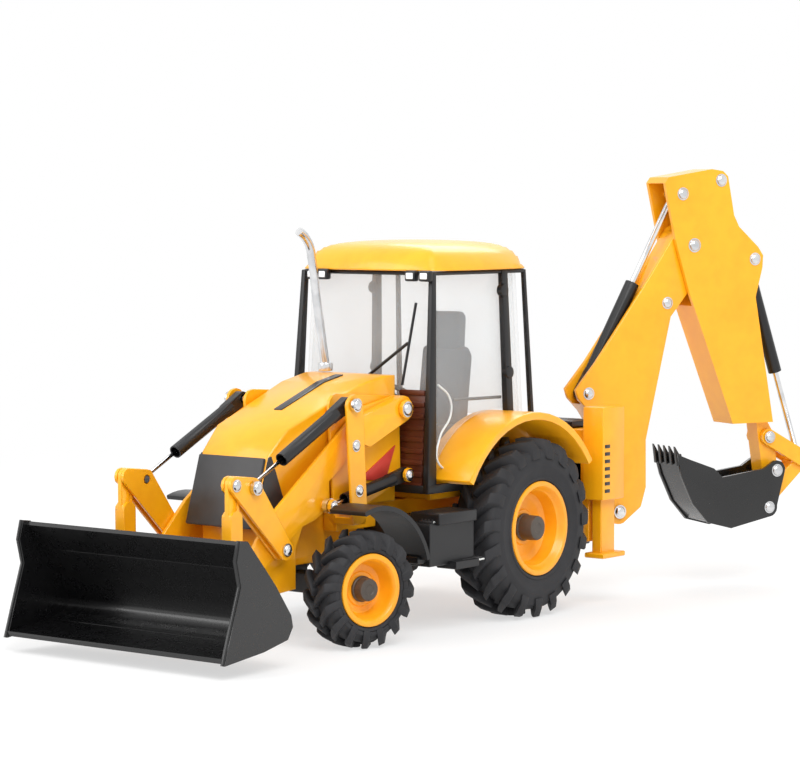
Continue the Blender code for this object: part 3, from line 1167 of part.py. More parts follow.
def make_backhoe_rams():
    hole = BACKHOE_PIN_R + PIN_PLAY
    eye = 2.1 * MM
    barrel = ram_barrel(BOOM_KNEE, DIPPER_RAM_TIP, 0.0, DIPPER_BARREL_R, DIPPER_BORE_R,
                        DIPPER_BARREL_LENGTH, eye, 1.4 * MM, hole)
    rod = ram_rod(BOOM_KNEE, DIPPER_RAM_TIP, 0.0, DIPPER_ROD_R, DIPPER_ROD_LENGTH, eye, 1.5 * MM, hole)
    piece("dipper_ram_barrel", barrel, "black_plastic", BACKHOE, at(BOOM_KNEE))
    piece("dipper_ram_rod", rod, "chrome", BACKHOE, at(DIPPER_RAM_TIP))
    barrel = ram_barrel(SCOOP_RAM_BASE, TIP_LEVER_END, 0.0, SCOOP_BARREL_R, SCOOP_BORE_R,
                        SCOOP_BARREL_LENGTH, eye, 1.4 * MM, hole)
    rod = ram_rod(SCOOP_RAM_BASE, TIP_LEVER_END, 0.0, SCOOP_ROD_R, SCOOP_ROD_LENGTH, 2.0 * MM,
                  1.3 * MM, hole)
    piece("bucket_ram_barrel", barrel, "black_plastic", BACKHOE, at(SCOOP_RAM_BASE))
    piece("bucket_ram_rod", rod, "chrome", BACKHOE, at(TIP_LEVER_END))


make_chassis()
make_front_axle()
make_tie_rod()
make_wheels()
make_hood()
make_grille()
make_rear_fenders()
make_cab()
make_roof()
make_seat()
make_console()
make_exhaust()
make_arms()
make_bucket()
make_rear_frame()
make_carriage()
make_kingpost()
make_boom()
make_dipper()
make_tipping_gear()
make_scoop()
make_backhoe_rams()
for SIDE, NAME in SIDES:
    make_knuckle(SIDE, NAME)
    make_steps(SIDE, NAME)
    make_tower(SIDE, NAME)
    make_lever(SIDE, NAME)
    make_link(SIDE, NAME)
    make_loader_rams(SIDE, NAME)
    make_stabiliser(SIDE, NAME)
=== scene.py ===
import json
import math

import bmesh
import bpy
from mathutils import Matrix, Vector

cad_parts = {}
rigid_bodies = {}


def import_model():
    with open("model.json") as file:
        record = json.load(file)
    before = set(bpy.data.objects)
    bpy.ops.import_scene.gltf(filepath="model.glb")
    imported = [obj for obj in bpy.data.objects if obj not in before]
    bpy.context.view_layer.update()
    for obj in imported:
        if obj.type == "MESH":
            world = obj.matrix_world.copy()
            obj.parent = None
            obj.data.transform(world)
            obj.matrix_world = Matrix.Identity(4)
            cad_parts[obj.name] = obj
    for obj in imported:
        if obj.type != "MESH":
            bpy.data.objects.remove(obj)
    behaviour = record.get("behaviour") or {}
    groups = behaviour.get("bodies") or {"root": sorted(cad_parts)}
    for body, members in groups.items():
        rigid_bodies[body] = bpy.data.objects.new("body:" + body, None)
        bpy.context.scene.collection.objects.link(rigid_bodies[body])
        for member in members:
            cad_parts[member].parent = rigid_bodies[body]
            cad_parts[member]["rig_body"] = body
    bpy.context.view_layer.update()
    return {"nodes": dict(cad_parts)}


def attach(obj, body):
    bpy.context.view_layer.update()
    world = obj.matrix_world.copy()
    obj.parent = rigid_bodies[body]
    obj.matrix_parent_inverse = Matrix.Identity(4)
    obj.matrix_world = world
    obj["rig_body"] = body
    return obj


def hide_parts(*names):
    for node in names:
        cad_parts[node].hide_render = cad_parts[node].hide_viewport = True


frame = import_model()
mm = 0.001
sides = ((-1, "left"), (1, "right"))

# where the machine stands in the frame, in millimetres and degrees
place = {"datumX": 5.6, "datumY": 6.4, "slewX": 45.5, "sideshift": -13.1, "slewTurn": -25.0,
         "axleX": -65.9, "kingpinY": 17.8, "steerTurn": -11.8}


def shiftBy(x, y, z):
    return Matrix.Translation((x, y, z))


def turnZ(degrees):
    return Matrix.Rotation(math.radians(degrees), 4, "Z")


# pieces are modelled in millimetres in one of these spaces
machineSpace = Matrix.Scale(mm, 4) @ shiftBy(place["datumX"], place["datumY"], 0)
backhoeSpace = machineSpace @ shiftBy(place["slewX"], place["sideshift"], 0) @ turnZ(place["slewTurn"])
knuckleSpace = {}
for side, _ in sides:
    kingpin = shiftBy(place["axleX"], side * place["kingpinY"], 0)
    knuckleSpace[side] = machineSpace @ kingpin @ turnZ(place["steerTurn"])


# shader wiring

class Wire:
    # a socket that can be used in sums
    def __init__(self, tree, socket):
        self.tree = tree
        self.socket = socket

    def node(self, kind, settings, inputs, output=0):
        made = self.tree.nodes.new(kind)
        for key, value in settings.items():
            if key == "stops":
                for stop, (position, colour) in zip(made.color_ramp.elements, value):
                    stop.position = position
                    stop.color = colour
            else:
                setattr(made, key, value)
        for key, value in inputs.items():
            if isinstance(value, Wire):
                self.tree.links.new(value.socket, made.inputs[key])
            else:
                made.inputs[key].default_value = value
        return Wire(self.tree, made.outputs[output])

    def maths(self, operation, first, second):
        return self.node("ShaderNodeMath", {"operation": operation}, {0: first, 1: second})

    def __add__(self, other):
        return self.maths("ADD", self, other)

    def __radd__(self, other):
        return self.maths("ADD", other, self)

    def __sub__(self, other):
        return self.maths("SUBTRACT", self, other)

    def __mul__(self, other):
        return self.maths("MULTIPLY", self, other)

    def noise(self, scale, detail=3.0):
        return self.node("ShaderNodeTexNoise", {},
                         {"Vector": self, "Scale": scale, "Detail": detail}, "Fac")

    def ramp(self, low, high):
        # 0 below low, 1 above high
        return self.node("ShaderNodeMapRange", {"interpolation_type": "SMOOTHSTEP"},
                         {"Value": self, "From Min": low, "From Max": high})

    def between(self, dark, light):
        # a colour that goes from dark to light with this value
        return self.node("ShaderNodeMix", {"data_type": "RGBA"}, {"Factor": self, 6: dark, 7: light}, 2)

    def bump(self, strength, distance):
        return self.node("ShaderNodeBump", {},
                         {"Strength": strength, "Distance": distance, "Height": self})

    def into(self, shader, name):
        self.tree.links.new(self.socket, shader.inputs[name])


def paint(red, green, blue):
    # a screen colour of 0 to 255 as the shader's linear colour
    shares = [value / 255 for value in (red, green, blue)]
    linear = [((share + 0.055) / 1.055) ** 2.4 if share > 0.04 else share / 12.92 for share in shares]
    return (*linear, 1.0)


def startFinish(name):
    finish = bpy.data.materials.new(name)
    finish.use_nodes = True
    tree = finish.node_tree
    shader = tree.nodes["Principled BSDF"]
    spot = Wire(tree, tree.nodes.new("ShaderNodeTexCoord").outputs["Object"])
    return finish, shader, spot


def mouldedFinish(name, dark, light, rough, grain, coat=0.0):
    # moulded plastic or paint: slow drift of colour and fine grain
    finish, shader, spot = startFinish(name)
    drift = spot.noise(60.0, 2.0)
    fine = spot.noise(2600.0, 4.0)
    blotch = spot.noise(350.0, 3.0)
    colour = (drift * 0.6 + blotch * 0.4).ramp(0.3, 0.7).between(paint(*dark), paint(*light))
    colour.into(shader, "Base Color")
    (rough - 0.05 + blotch * 0.1 + fine * 0.04).into(shader, "Roughness")
    fine.bump(grain, 0.00004).into(shader, "Normal")
    shader.inputs["Coat Weight"].default_value = coat
    shader.inputs["Coat Roughness"].default_value = 0.12
    return finish


def metalFinish(name, dark, light, rough):
    # polished metal with faint streaks
    finish, shader, spot = startFinish(name)
    streak = spot.node("ShaderNodeMapping", {},
                       {"Vector": spot, "Scale": (1.0, 1.0, 0.15)}).noise(3000.0, 3.0)
    cloud = spot.noise(200.0, 2.0)
    cloud.ramp(0.3, 0.7).between(paint(*dark), paint(*light)).into(shader, "Base Color")
    (rough + streak * 0.1 - cloud * 0.04).into(shader, "Roughness")
    streak.bump(0.08, 0.00002).into(shader, "Normal")
    shader.inputs["Metallic"].default_value = 1.0
    return finish


def glassFinish(name, tint, clear, gloss):
    # clear moulded sheet: see-through face on, brighter at a slant
    finish, shader, spot = startFinish(name)
    slant = spot.node("ShaderNodeLayerWeight", {}, {"Blend": 0.25}, "Facing")
    haze = spot.noise(45.0, 2.0)
    haze.between(paint(*tint), paint(246, 249, 250)).into(shader, "Base Color")
    (clear + slant * gloss + haze * 0.06).into(shader, "Alpha")
    (0.04 + haze * 0.05).into(shader, "Roughness")
    return finish


yellowPaint = mouldedFinish("yellow_paint", (246, 166, 8), (253, 178, 16), 0.33, 0.10, 0.35)
rimPaint = mouldedFinish("rim_paint", (246, 158, 10), (254, 172, 20), 0.38, 0.10, 0.25)
blackPlastic = mouldedFinish("black_plastic", (13, 13, 15), (21, 21, 23), 0.40, 0.35)
bucketPlastic = mouldedFinish("bucket_plastic", (6, 6, 7), (12, 12, 13), 0.26, 0.2, 0.3)
charcoalPlastic = mouldedFinish("charcoal_plastic", (40, 39, 40), (52, 51, 52), 0.42, 0.4)
tyreRubber = mouldedFinish("tyre_rubber", (26, 26, 29), (40, 40, 43), 0.68, 0.6)
seatPlastic = mouldedFinish("seat_plastic", (56, 57, 62), (74, 75, 80), 0.55, 0.7)
brownPanel = mouldedFinish("brown_panel", (62, 26, 14), (88, 38, 20), 0.4, 0.25)
# dark hub plastic tinted warm brown: the warm tint is a painted reflection of the yellow rim
hubPlasticAndPaintedReflection = mouldedFinish("hub_plastic_and_painted_reflection", (58, 50, 44), (78, 70, 62), 0.42, 0.3)
redPlate = mouldedFinish("red_plate", (196, 52, 44), (214, 74, 62), 0.4, 0.2)
# black for the marks on the stabiliser sleeves; along the hood's centre line this black is painted shade
blackMarkAndPaintedShade = mouldedFinish("black_mark_and_painted_shade", (16, 16, 16), (26, 26, 26), 0.35, 0.05, 0.3)
# pale colour for the step edges; on the cab door edges the same pale is a painted highlight
paleTrimAndPaintedHighlight = mouldedFinish("pale_trim_and_painted_highlight", (206, 208, 206), (226, 228, 226), 0.35, 0.05, 0.2)
brightMetal = metalFinish("bright_metal", (205, 206, 208), (232, 232, 232), 0.16)
clearPlastic = glassFinish("clear_plastic", (206, 214, 218), 0.05, 0.40)
lampGlass = mouldedFinish("lamp_glass", (236, 238, 240), (250, 250, 250), 0.12, 0.05, 0.5)
print("finishes:", len(bpy.data.materials))


# mesh helpers, all in millimetres: each makes a shape by itself and adds it to a mesh

def newVerts(made):
    return [item for item in made if isinstance(item, bmesh.types.BMVert)]


def roundEdges(part, amount, segments=2, degrees=25.0):
    limit = math.radians(degrees)
    sharp = [edge for edge in part.edges if edge.is_manifold and edge.calc_face_angle() > limit]
    if amount and sharp:
        bmesh.ops.bevel(part, geom=sharp, offset=amount, affect="EDGES", segments=segments, profile=0.5,
                        material=-1, clamp_overlap=True)


def addPart(bm, part, spot=None):
    mesh = bpy.data.meshes.new("part")
    part.to_mesh(mesh)
    part.free()
    if spot is not None:
        mesh.transform(spot)
    bm.from_mesh(mesh)
    bpy.data.meshes.remove(mesh)


def addBox(bm, low, high, edge=0.2, turn=None):
    # turn is a matrix about the box's middle
    low, high = Vector(low), Vector(high)
    part = bmesh.new()
    bmesh.ops.create_cube(part, size=1.0, matrix=Matrix.Diagonal((*(high - low), 1.0)))
    roundEdges(part, edge)
    addPart(bm, part, Matrix.Translation((low + high) / 2) @ (turn or Matrix.Identity(4)))


def addSlab(bm, outline, low, high, edge=0.2, segments=2, spot=None):
    # a side-view outline of (x, z) drawn out across the machine
    part = bmesh.new()
    face = part.faces.new([part.verts.new((x, low, z)) for x, z in outline])
    drawn = newVerts(bmesh.ops.extrude_face_region(part, geom=[face])["geom"])
    bmesh.ops.translate(part, vec=(0, high - low, 0), verts=drawn)
    bmesh.ops.recalc_face_normals(part, faces=part.faces)
    roundEdges(part, edge, segments)
    addPart(bm, part, spot)


def addStrut(bm, low, high, lowSize, highSize, edge=0.25):
    # a post between two points, with its (x, y) size at each end
    part = bmesh.new()
    bmesh.ops.create_cube(part, size=1.0)
    for vert in part.verts:
        end, size = (high, highSize) if vert.co.z > 0 else (low, lowSize)
        vert.co = (end[0] + vert.co.x * size[0], end[1] + vert.co.y * size[1], end[2])
    roundEdges(part, edge)
    addPart(bm, part)


def addBar(bm, start, end, radius, sides=20, edge=0.15):
    start, end = Vector(start), Vector(end)
    along = end - start
    turn = Vector((0, 0, 1)).rotation_difference(along).to_matrix().to_4x4()
    part = bmesh.new()
    bmesh.ops.create_cone(part, cap_ends=True, segments=sides, radius1=radius, radius2=radius,
                          depth=along.length)
    roundEdges(part, edge, 2, 60.0)
    addPart(bm, part, Matrix.Translation((start + end) / 2) @ turn)


def addTurned(bm, profile, steps, spot=None, closed=True):
    # a profile of (radius, y) spun about the Y axis and put at a spot
    part = bmesh.new()
    ring = [part.verts.new((radius, y, 0)) for radius, y in profile]
    pairs = list(zip(ring, ring[1:] + ring[:1])) if closed else list(zip(ring, ring[1:]))
    edges = [part.edges.new(pair) for pair in pairs]
    bmesh.ops.spin(part, geom=ring + edges, cent=(0, 0, 0), axis=(0, 1, 0), angle=2 * math.pi,
                   steps=steps, use_merge=True)
    bmesh.ops.remove_doubles(part, verts=part.verts, dist=0.002)
    bmesh.ops.recalc_face_normals(part, faces=part.faces)
    addPart(bm, part, spot)


def addTube(bm, points, radius, sides=12, smooth=True):
    # a round rod along a path
    curve = bpy.data.curves.new("path", "CURVE")
    curve.dimensions = "3D"
    curve.bevel_depth = radius
    curve.bevel_resolution = sides // 4
    curve.use_fill_caps = True
    spline = curve.splines.new("BEZIER" if smooth else "POLY")
    if smooth:
        spline.bezier_points.add(len(points) - 1)
        for knot, point in zip(spline.bezier_points, points):
            knot.co = point
            knot.handle_left_type = "AUTO"
            knot.handle_right_type = "AUTO"
    else:
        spline.points.add(len(points) - 1)
        for knot, point in zip(spline.points, points):
            knot.co = (*point, 1.0)
    holder = bpy.data.objects.new("path", curve)
    bpy.context.scene.collection.objects.link(holder)
    bpy.context.view_layer.update()
    mesh = bpy.data.meshes.new_from_object(holder.evaluated_get(bpy.context.evaluated_depsgraph_get()))
    part = bmesh.new()
    part.from_mesh(mesh)
    bmesh.ops.remove_doubles(part, verts=part.verts, dist=0.001)
    bpy.data.objects.remove(holder)
    bpy.data.meshes.remove(mesh)
    addPart(bm, part)


def finishPiece(name, bm, space, finish, body, replaced=(), sharp=32.0):
    bmesh.ops.transform(bm, matrix=space, verts=bm.verts)
    bmesh.ops.recalc_face_normals(bm, faces=bm.faces)
    mesh = bpy.data.meshes.new(name)
    bm.to_mesh(mesh)
    bm.free()
    mesh.shade_smooth()
    mesh.set_sharp_from_angle(angle=math.radians(sharp))
    mesh.materials.append(finish)
    piece = bpy.data.objects.new(name, mesh)
    bpy.context.scene.collection.objects.link(piece)
    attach(piece, body)
    if replaced:
        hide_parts(*replaced)
    return piece


# solids of the frame that only need soft edges: finish, slot and the edge's radius in millimetres
softened = {
    "chassis": (yellowPaint, "yellow_plastic", 0.4),
    "engine_hood": (yellowPaint, "yellow_plastic", 0.0),
    "rear_fenders": (yellowPaint, "yellow_plastic", 0.35),
    "rear_frame": (yellowPaint, "yellow_plastic", 0.3),
    "loader_arms": (yellowPaint, "yellow_plastic", 0.2),
    "backhoe_boom": (yellowPaint, "yellow_plastic", 0.3),
    "backhoe_dipper": (yellowPaint, "yellow_plastic", 0.0),
    "tipping_lever": (yellowPaint, "yellow_plastic", 0.2),
    "tipping_link": (yellowPaint, "yellow_plastic", 0.25),
    "front_axle": (blackPlastic, "black_plastic", 0.3),
    "sideshift_carriage": (blackPlastic, "black_plastic", 0.35),
    "kingpost": (blackPlastic, "black_plastic", 0.25),
    "operator_console": (charcoalPlastic, "charcoal_plastic", 0.25),
    "loader_bucket": (bucketPlastic, "black_plastic", 0.0),
    "backhoe_bucket": (bucketPlastic, "charcoal_plastic", 0.15),
    "cab_glazing": (clearPlastic, "clear_plastic", 0.0),
    "tie_rod": (brightMetal, "bright_metal", 0.15),
    "dipper_ram_barrel": (blackPlastic, "black_plastic", 0.2),
    "bucket_ram_barrel": (blackPlastic, "black_plastic", 0.2),
    "dipper_ram_rod": (brightMetal, "bright_metal", 0.15),
    "bucket_ram_rod": (brightMetal, "bright_metal", 0.15),
}
pairedSoftened = {
    "steering_knuckle": (blackPlastic, "black_plastic", 0.25),
    "step_moulding": (blackPlastic, "black_plastic", 0.3),
    "loader_tower": (yellowPaint, "yellow_plastic", 0.2),
    "bucket_lever": (yellowPaint, "yellow_plastic", 0.2),
    "bucket_link": (yellowPaint, "yellow_plastic", 0.25),
    "tilt_ram_barrel": (blackPlastic, "black_plastic", 0.2),
    "tilt_ram_rod": (brightMetal, "bright_metal", 0.1),
    "tower_pin": (brightMetal, "bright_metal", 0.2),
    "lever_pin": (brightMetal, "bright_metal", 0.2),
    "lift_ram_barrel": (blackPlastic, "black_plastic", 0.2),
    "lift_ram_rod": (brightMetal, "bright_metal", 0.1),
    "stabiliser_leg": (yellowPaint, "yellow_plastic", 0.3),
}
for _, sideName in sides:
    for ending, settings in pairedSoftened.items():
        softened[sideName + "_" + ending] = settings


softening = {"angle": 35.0, "shortest": 2.5, "merge": 0.002, "flat": 0.5}


def softenNode(node, finish, edge):
    # a merged copy of the solid with its flat faces joined and its long sharp edges rounded
    bm = bmesh.new()
    bm.from_mesh(frame["nodes"][node].data)
    bmesh.ops.scale(bm, vec=(1 / mm, 1 / mm, 1 / mm), verts=bm.verts)
    bmesh.ops.remove_doubles(bm, verts=bm.verts, dist=softening["merge"])
    bmesh.ops.dissolve_limit(bm, angle_limit=math.radians(softening["flat"]), verts=bm.verts,
                             edges=bm.edges)
    if edge:
        sharp = [e for e in bm.edges if e.is_manifold and e.calc_length() > softening["shortest"]
                 and e.calc_face_angle_signed() > math.radians(softening["angle"])]
        bmesh.ops.bevel(bm, geom=sharp, offset=edge, affect="EDGES", segments=2, profile=0.5,
                        material=-1, clamp_overlap=False)
    body = frame["nodes"][node]["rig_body"]
    finishPiece(node + "_soft", bm, Matrix.Scale(mm, 4), finish, body, [node])


for node, (finish, slot, edge) in softened.items():
    softenNode(node, finish, edge)
print("softened:", len(softened))


# wheels
wheelSizes = {
    "rear": {"radius": 23.5, "width": 13.5, "rim": 11.4, "lug": 2.2, "hub": 3.3, "lugs": 19,
             "skew": 0.30, "out": 26.25},
    "front": {"radius": 14.5, "width": 10.0, "rim": 8.0, "lug": 1.7, "hub": 2.9, "lugs": 16,
              "skew": 0.36, "out": 9.5},
}


def addLugs(bm, size, hand):
    # one bar of tread from the middle out over the shoulder, then copied round the tyre
    base = size["radius"] - size["lug"]
    half = size["width"] / 2
    pitch = 2 * math.pi / size["lugs"]
    part = bmesh.new()
    bmesh.ops.create_cube(part, size=1.0)
    cuts = [e for e in part.edges if abs(e.verts[0].co.y - e.verts[1].co.y) > 0.5]
    bmesh.ops.subdivide_edges(part, edges=cuts, cuts=6, use_grid_fill=True)
    for vert in part.verts:
        across = max(vert.co.y + 0.5, 0.0)
        top = vert.co.z > 0
        reach = size["radius"] - 0.35 * across ** 3 if top else base - 0.7 - 2.4 * across ** 6
        if top and across > 0.95:
            reach = base - 0.4
        thick = pitch * (0.36 if top else 0.5) * (0.75 + 0.35 * across)
        turn = size["skew"] * across ** 0.85 + vert.co.x * thick + (pitch / 2 if hand > 0 else 0.0)
        out = 0.3 + (half - 0.15 - (0.5 if top and across < 0.95 else 0.0)) * across
        vert.co = (reach * math.cos(turn), hand * out, reach * math.sin(turn))
    bmesh.ops.recalc_face_normals(part, faces=part.faces)
    roundEdges(part, 0.22, 2, 40.0)
    for i in range(size["lugs"]):
        addPart(bm, part.copy(), Matrix.Rotation(pitch * i, 4, "Y"))
    part.free()


def tyreMesh(size):
    base = size["radius"] - size["lug"]
    half = size["width"] / 2
    bead = size["rim"] + 0.3
    wall = (base + bead) / 2
    outer = [(bead, half - 1.2), (bead + 0.6, half - 0.9), (bead + 1.0, half - 0.25),
             (bead + 1.6, half - 0.1), (bead + 1.9, half - 0.35), (wall - 0.4, half - 0.15),
             (wall, half), (wall + 0.5, half - 0.1), (base - 1.6, half - 0.3),
             (base - 0.8, half - 0.8), (base - 0.2, half - 1.7), (base, half - 3.0)]
    profile = outer + [(r, -y) for r, y in reversed(outer)]
    bm = bmesh.new()
    addTurned(bm, profile, 96)
    for hand in (-1, 1):
        addLugs(bm, size, hand)
    return bm


def rimMesh(size):
    rim = size["rim"]
    face = size["width"] / 2 - 0.1
    disc = 0.04 * size["width"]
    hub = size["hub"]
    profile = [(rim, face - 0.9), (rim, 0.9 - face), (rim - 1.1, 0.9 - face), (rim - 1.4, disc - 2.0),
               (hub - 0.9, disc - 2.0), (hub - 0.9, disc + 0.4), (hub + 1.2, disc + 0.4),
               (hub + 1.5, disc + 0.1),
               (0.66 * rim, disc), (0.74 * rim, disc + 0.25), (0.80 * rim, disc + 0.9),
               (0.86 * rim, face - 1.9), (rim - 1.0, face - 1.3), (rim - 0.75, face - 0.5),
               (rim - 0.35, face - 0.08), (rim + 0.1, face), (rim + 0.6, face),
               (rim + 0.85, face - 0.15), (rim + 0.95, face - 0.45),
               (rim + 0.85, face - 0.7)]
    bm = bmesh.new()
    addTurned(bm, profile, 72)
    return bm


def hubMesh(size):
    hub = size["hub"]
    face = size["width"] / 2 - 0.9
    disc = 0.04 * size["width"]
    profile = [(0, disc - 1.0), (hub - 1.0, disc - 1.0), (hub - 1.0, disc + 0.5),
               (hub + 0.3, disc + 0.5), (hub + 0.3, disc + 1.0), (hub, disc + 1.2),
               (hub - 0.1, face - 0.5), (hub - 0.25, face - 0.15),
               (hub - 0.6, face), (1.4, face), (1.2, face - 0.15), (0, face - 0.15)]
    bm = bmesh.new()
    addTurned(bm, profile, 48, closed=False)
    return bm


for side, sideName in sides:
    facing = turnZ(0 if side > 0 else 180)
    for end, space in (("rear", machineSpace), ("front", knuckleSpace[side])):
        label = end + "_" + sideName
        size = wheelSizes[end]
        spot = space @ shiftBy(0, side * size["out"], size["radius"]) @ facing
        body = label + "_wheel"
        finishPiece(label + "_tread_tyre", tyreMesh(size), spot, tyreRubber, body,
                    [label + "_tyre"])
        finishPiece(label + "_dished_rim", rimMesh(size), spot, rimPaint, body,
                    [label + "_rim"])
        # hub caps: dark plastic with a painted warm reflection
        finishPiece(label + "_hub_cap", hubMesh(size), spot, hubPlasticAndPaintedReflection, body)
print("wheels: 4")


# roof: a crowned shell with round corners and a soft rim
roofShape = {"front": -33.8, "rear": 11.6, "half": 24.2, "low": 90.8, "rise": 7.6, "edge": 0.5,
             "steps": 28, "corner": 0.12, "topShare": 0.965, "rimFall": 0.62, "crown": 0.12}


def roofMesh():
    bm = bmesh.new()
    bmesh.ops.create_grid(bm, x_segments=roofShape["steps"], y_segments=roofShape["steps"], size=1.0)
    drawn = newVerts(bmesh.ops.extrude_face_region(bm, geom=list(bm.faces))["geom"])
    top = set(drawn)
    middle = (roofShape["front"] + roofShape["rear"]) / 2
    reach = (roofShape["rear"] - roofShape["front"]) / 2
    for vert in bm.verts:
        x, y = vert.co.x, vert.co.y
        rim = max(abs(x), abs(y))
        corner = 1 - roofShape["corner"] * abs(x * y) ** 2
        share = 1.0
        z = roofShape["low"]
        if vert in top:
            share = roofShape["topShare"]
            fall = roofShape["rimFall"] * rim ** 7 + roofShape["crown"] * (x * x + y * y)
            z += roofShape["rise"] * (1 - fall)
        vert.co = (middle + x * reach * corner * share, y * roofShape["half"] * corner * share, z)
    bmesh.ops.recalc_face_normals(bm, faces=bm.faces)
    border = [e for e in bm.edges if e.calc_face_angle() > math.radians(50)]
    bmesh.ops.bevel(bm, geom=border, offset=roofShape["edge"], affect="EDGES", segments=3,
                    profile=0.5, material=-1)
    return bm


finishPiece("roof_shell", roofMesh(), machineSpace, yellowPaint, "machine_body",
            ["cab_roof"], 50.0)
print("roof")


# cab: posts that lean in towards the roof, hinges, pale tubes of painted highlight along the door edges,
# grab bar, wiper and lamps
cab = {"floor": 34.6, "top": 90.6, "middle": -11.35, "leanX": 0.14, "leanY": 0.07, "half": 22.6,
       "front": {"x": -34.0, "low": 34.6, "lowSize": (3.6, 1.8), "highSize": (1.7, 1.3)},
       "door": {"x": 0.8, "low": 50.0, "lowSize": (2.8, 1.8), "highSize": (2.5, 1.5)},
       "rear": {"x": 11.4, "low": 50.0, "lowSize": (1.3, 1.3), "highSize": (1.1, 1.1)},
       "hinges": ((-0.1, 85.3), (0.9, 63.8)), "hingeRadius": 1.7,
       "doorEdge": ((-31.8, 62.1), (-26.6, 58.4), (-26.0, 54.6), (-31.0, 48.4), (-31.6, 42.6),
                    (-20.3, 40.0)),
       "grab": ((-14.3, -15.0, 57.0), (6.3, -15.0, 56.7)), "grabRadius": 0.45, "highlightOut": 0.7,
       "highlightRadius": 0.28, "sill": (-35.6, -21.0, 34.6, 36.8), "sillHalf": 1.0,
       "frontSill": (-35.6, -33.2, 2.0),
       "rail": 90.2, "railRadius": 0.55, "hingeIn": 0.6, "hingeOut": 1.3}


def lean(x, y, z):
    share = (z - cab["floor"]) / (cab["top"] - cab["floor"])
    return (cab["middle"] + (x - cab["middle"]) * (1 - cab["leanX"] * share),
            y * (1 - cab["leanY"] * share), z)


bm = bmesh.new()
for side, _ in sides:
    y = side * cab["half"]
    for post in ("front", "door", "rear"):
        values = cab[post]
        addStrut(bm, lean(values["x"], y, values["low"]), lean(values["x"], y, cab["top"]),
                 values["lowSize"], values["highSize"])
    for x, z in cab["hinges"]:
        addBar(bm, lean(x, y - side * cab["hingeIn"], z), lean(x, y + side * cab["hingeOut"], z),
               cab["hingeRadius"], 20, 0.4)
    addTube(bm, [lean(cab[end]["x"], y, cab["rail"]) for end in ("front", "rear")], cab["railRadius"])
    sillFront, sillRear, sillLow, sillHigh = cab["sill"]
    addBox(bm, (sillFront, y - cab["sillHalf"], sillLow), (sillRear, y + cab["sillHalf"], sillHigh),
           0.3)
for end in ("front", "rear"):
    x = cab[end]["x"]
    addTube(bm, [lean(x, y, cab["rail"]) for y in (-cab["half"], cab["half"])], cab["railRadius"])
sillFront, sillRear, sillHeight = cab["frontSill"]
addBox(bm, (sillFront, -cab["half"], cab["floor"]),
       (sillRear, cab["half"], cab["floor"] + sillHeight), 0.3)
addTube(bm, cab["grab"], cab["grabRadius"])
finishPiece("cab_posts", bm, machineSpace, blackPlastic, "machine_body", ["cab_frame"])

# pale tubes along the door edges: painted highlight where the glass door edges catch the light
bm = bmesh.new()
for side, _ in sides:
    addTube(bm, [lean(x, side * (cab["half"] + cab["highlightOut"]), z) for x, z in cab["doorEdge"]],
            cab["highlightRadius"])
finishPiece("door_edge_painted_highlights", bm, machineSpace, paleTrimAndPaintedHighlight, "machine_body")

# brown slatted panels beside the hood, under the windscreen
firewall = {"x": -34.6, "inner": 12.4, "outer": 20.6, "low": 36.4, "high": 60.0, "slats": 9,
            "slat": 0.7}
bm = bmesh.new()
for side, _ in sides:
    inner, outer = sorted((side * firewall["inner"], side * firewall["outer"]))
    for i in range(firewall["slats"]):
        z = firewall["low"] + (firewall["high"] - firewall["low"]) * i / (firewall["slats"] - 1)
        x = lean(firewall["x"], 0, z)[0]
        addBox(bm, (x - 0.5, inner, z - firewall["slat"]), (x + 0.3, outer, z + firewall["slat"]), 0.25)
    lowX = lean(firewall["x"], 0, firewall["low"])[0]
    highX = lean(firewall["x"], 0, firewall["high"])[0]
    addSlab(bm, [(lowX - 0.1, firewall["low"]), (highX - 0.1, firewall["high"]),
                 (highX + 0.5, firewall["high"]), (lowX + 0.5, firewall["low"])], inner, outer, 0.1)
finishPiece("cab_firewall", bm, machineSpace, brownPanel, "machine_body")

# wiper and work lamps at the windscreen
wiper = {"glassX": -34.9, "stand": 0.5, "arm": ((-2.5, 63.9), (-14.9, 72.5), 0.42),
         "blade": ((-17.1, 82.8), (-13.6, 61.8), 0.36)}
workLamps = {"x": (-34.2, -32.2), "z": (88.2, 91.0), "frame": 0.6, "stand": 0.2, "deep": 0.3,
             "pairs": ((11.0, 14.2), (14.8, 18.0), (-17.9, -14.5), (-22.4, -19.0))}
bm = bmesh.new()
for (startY, startZ), (endY, endZ), radius in (wiper["arm"], wiper["blade"]):
    startX = lean(wiper["glassX"], 0, startZ)[0] - wiper["stand"]
    endX = lean(wiper["glassX"], 0, endZ)[0] - wiper["stand"]
    addTube(bm, [(startX, startY, startZ), (endX, endY, endZ)], radius)
frontX, rearX = workLamps["x"]
lowZ, highZ = workLamps["z"]
for lowY, highY in workLamps["pairs"]:
    addBox(bm, (frontX, lowY, lowZ), (rearX, highY, highZ), 0.5)
finishPiece("wiper_and_lamps", bm, machineSpace, blackPlastic, "machine_body")
bm = bmesh.new()
for lowY, highY in workLamps["pairs"]:
    edge = workLamps["frame"]
    addBox(bm, (frontX - workLamps["stand"], lowY + edge, lowZ + edge),
           (frontX + workLamps["deep"], highY - edge, highZ - edge), 0.2)
finishPiece("lamp_faces", bm, machineSpace, lampGlass, "machine_body")
print("cab")


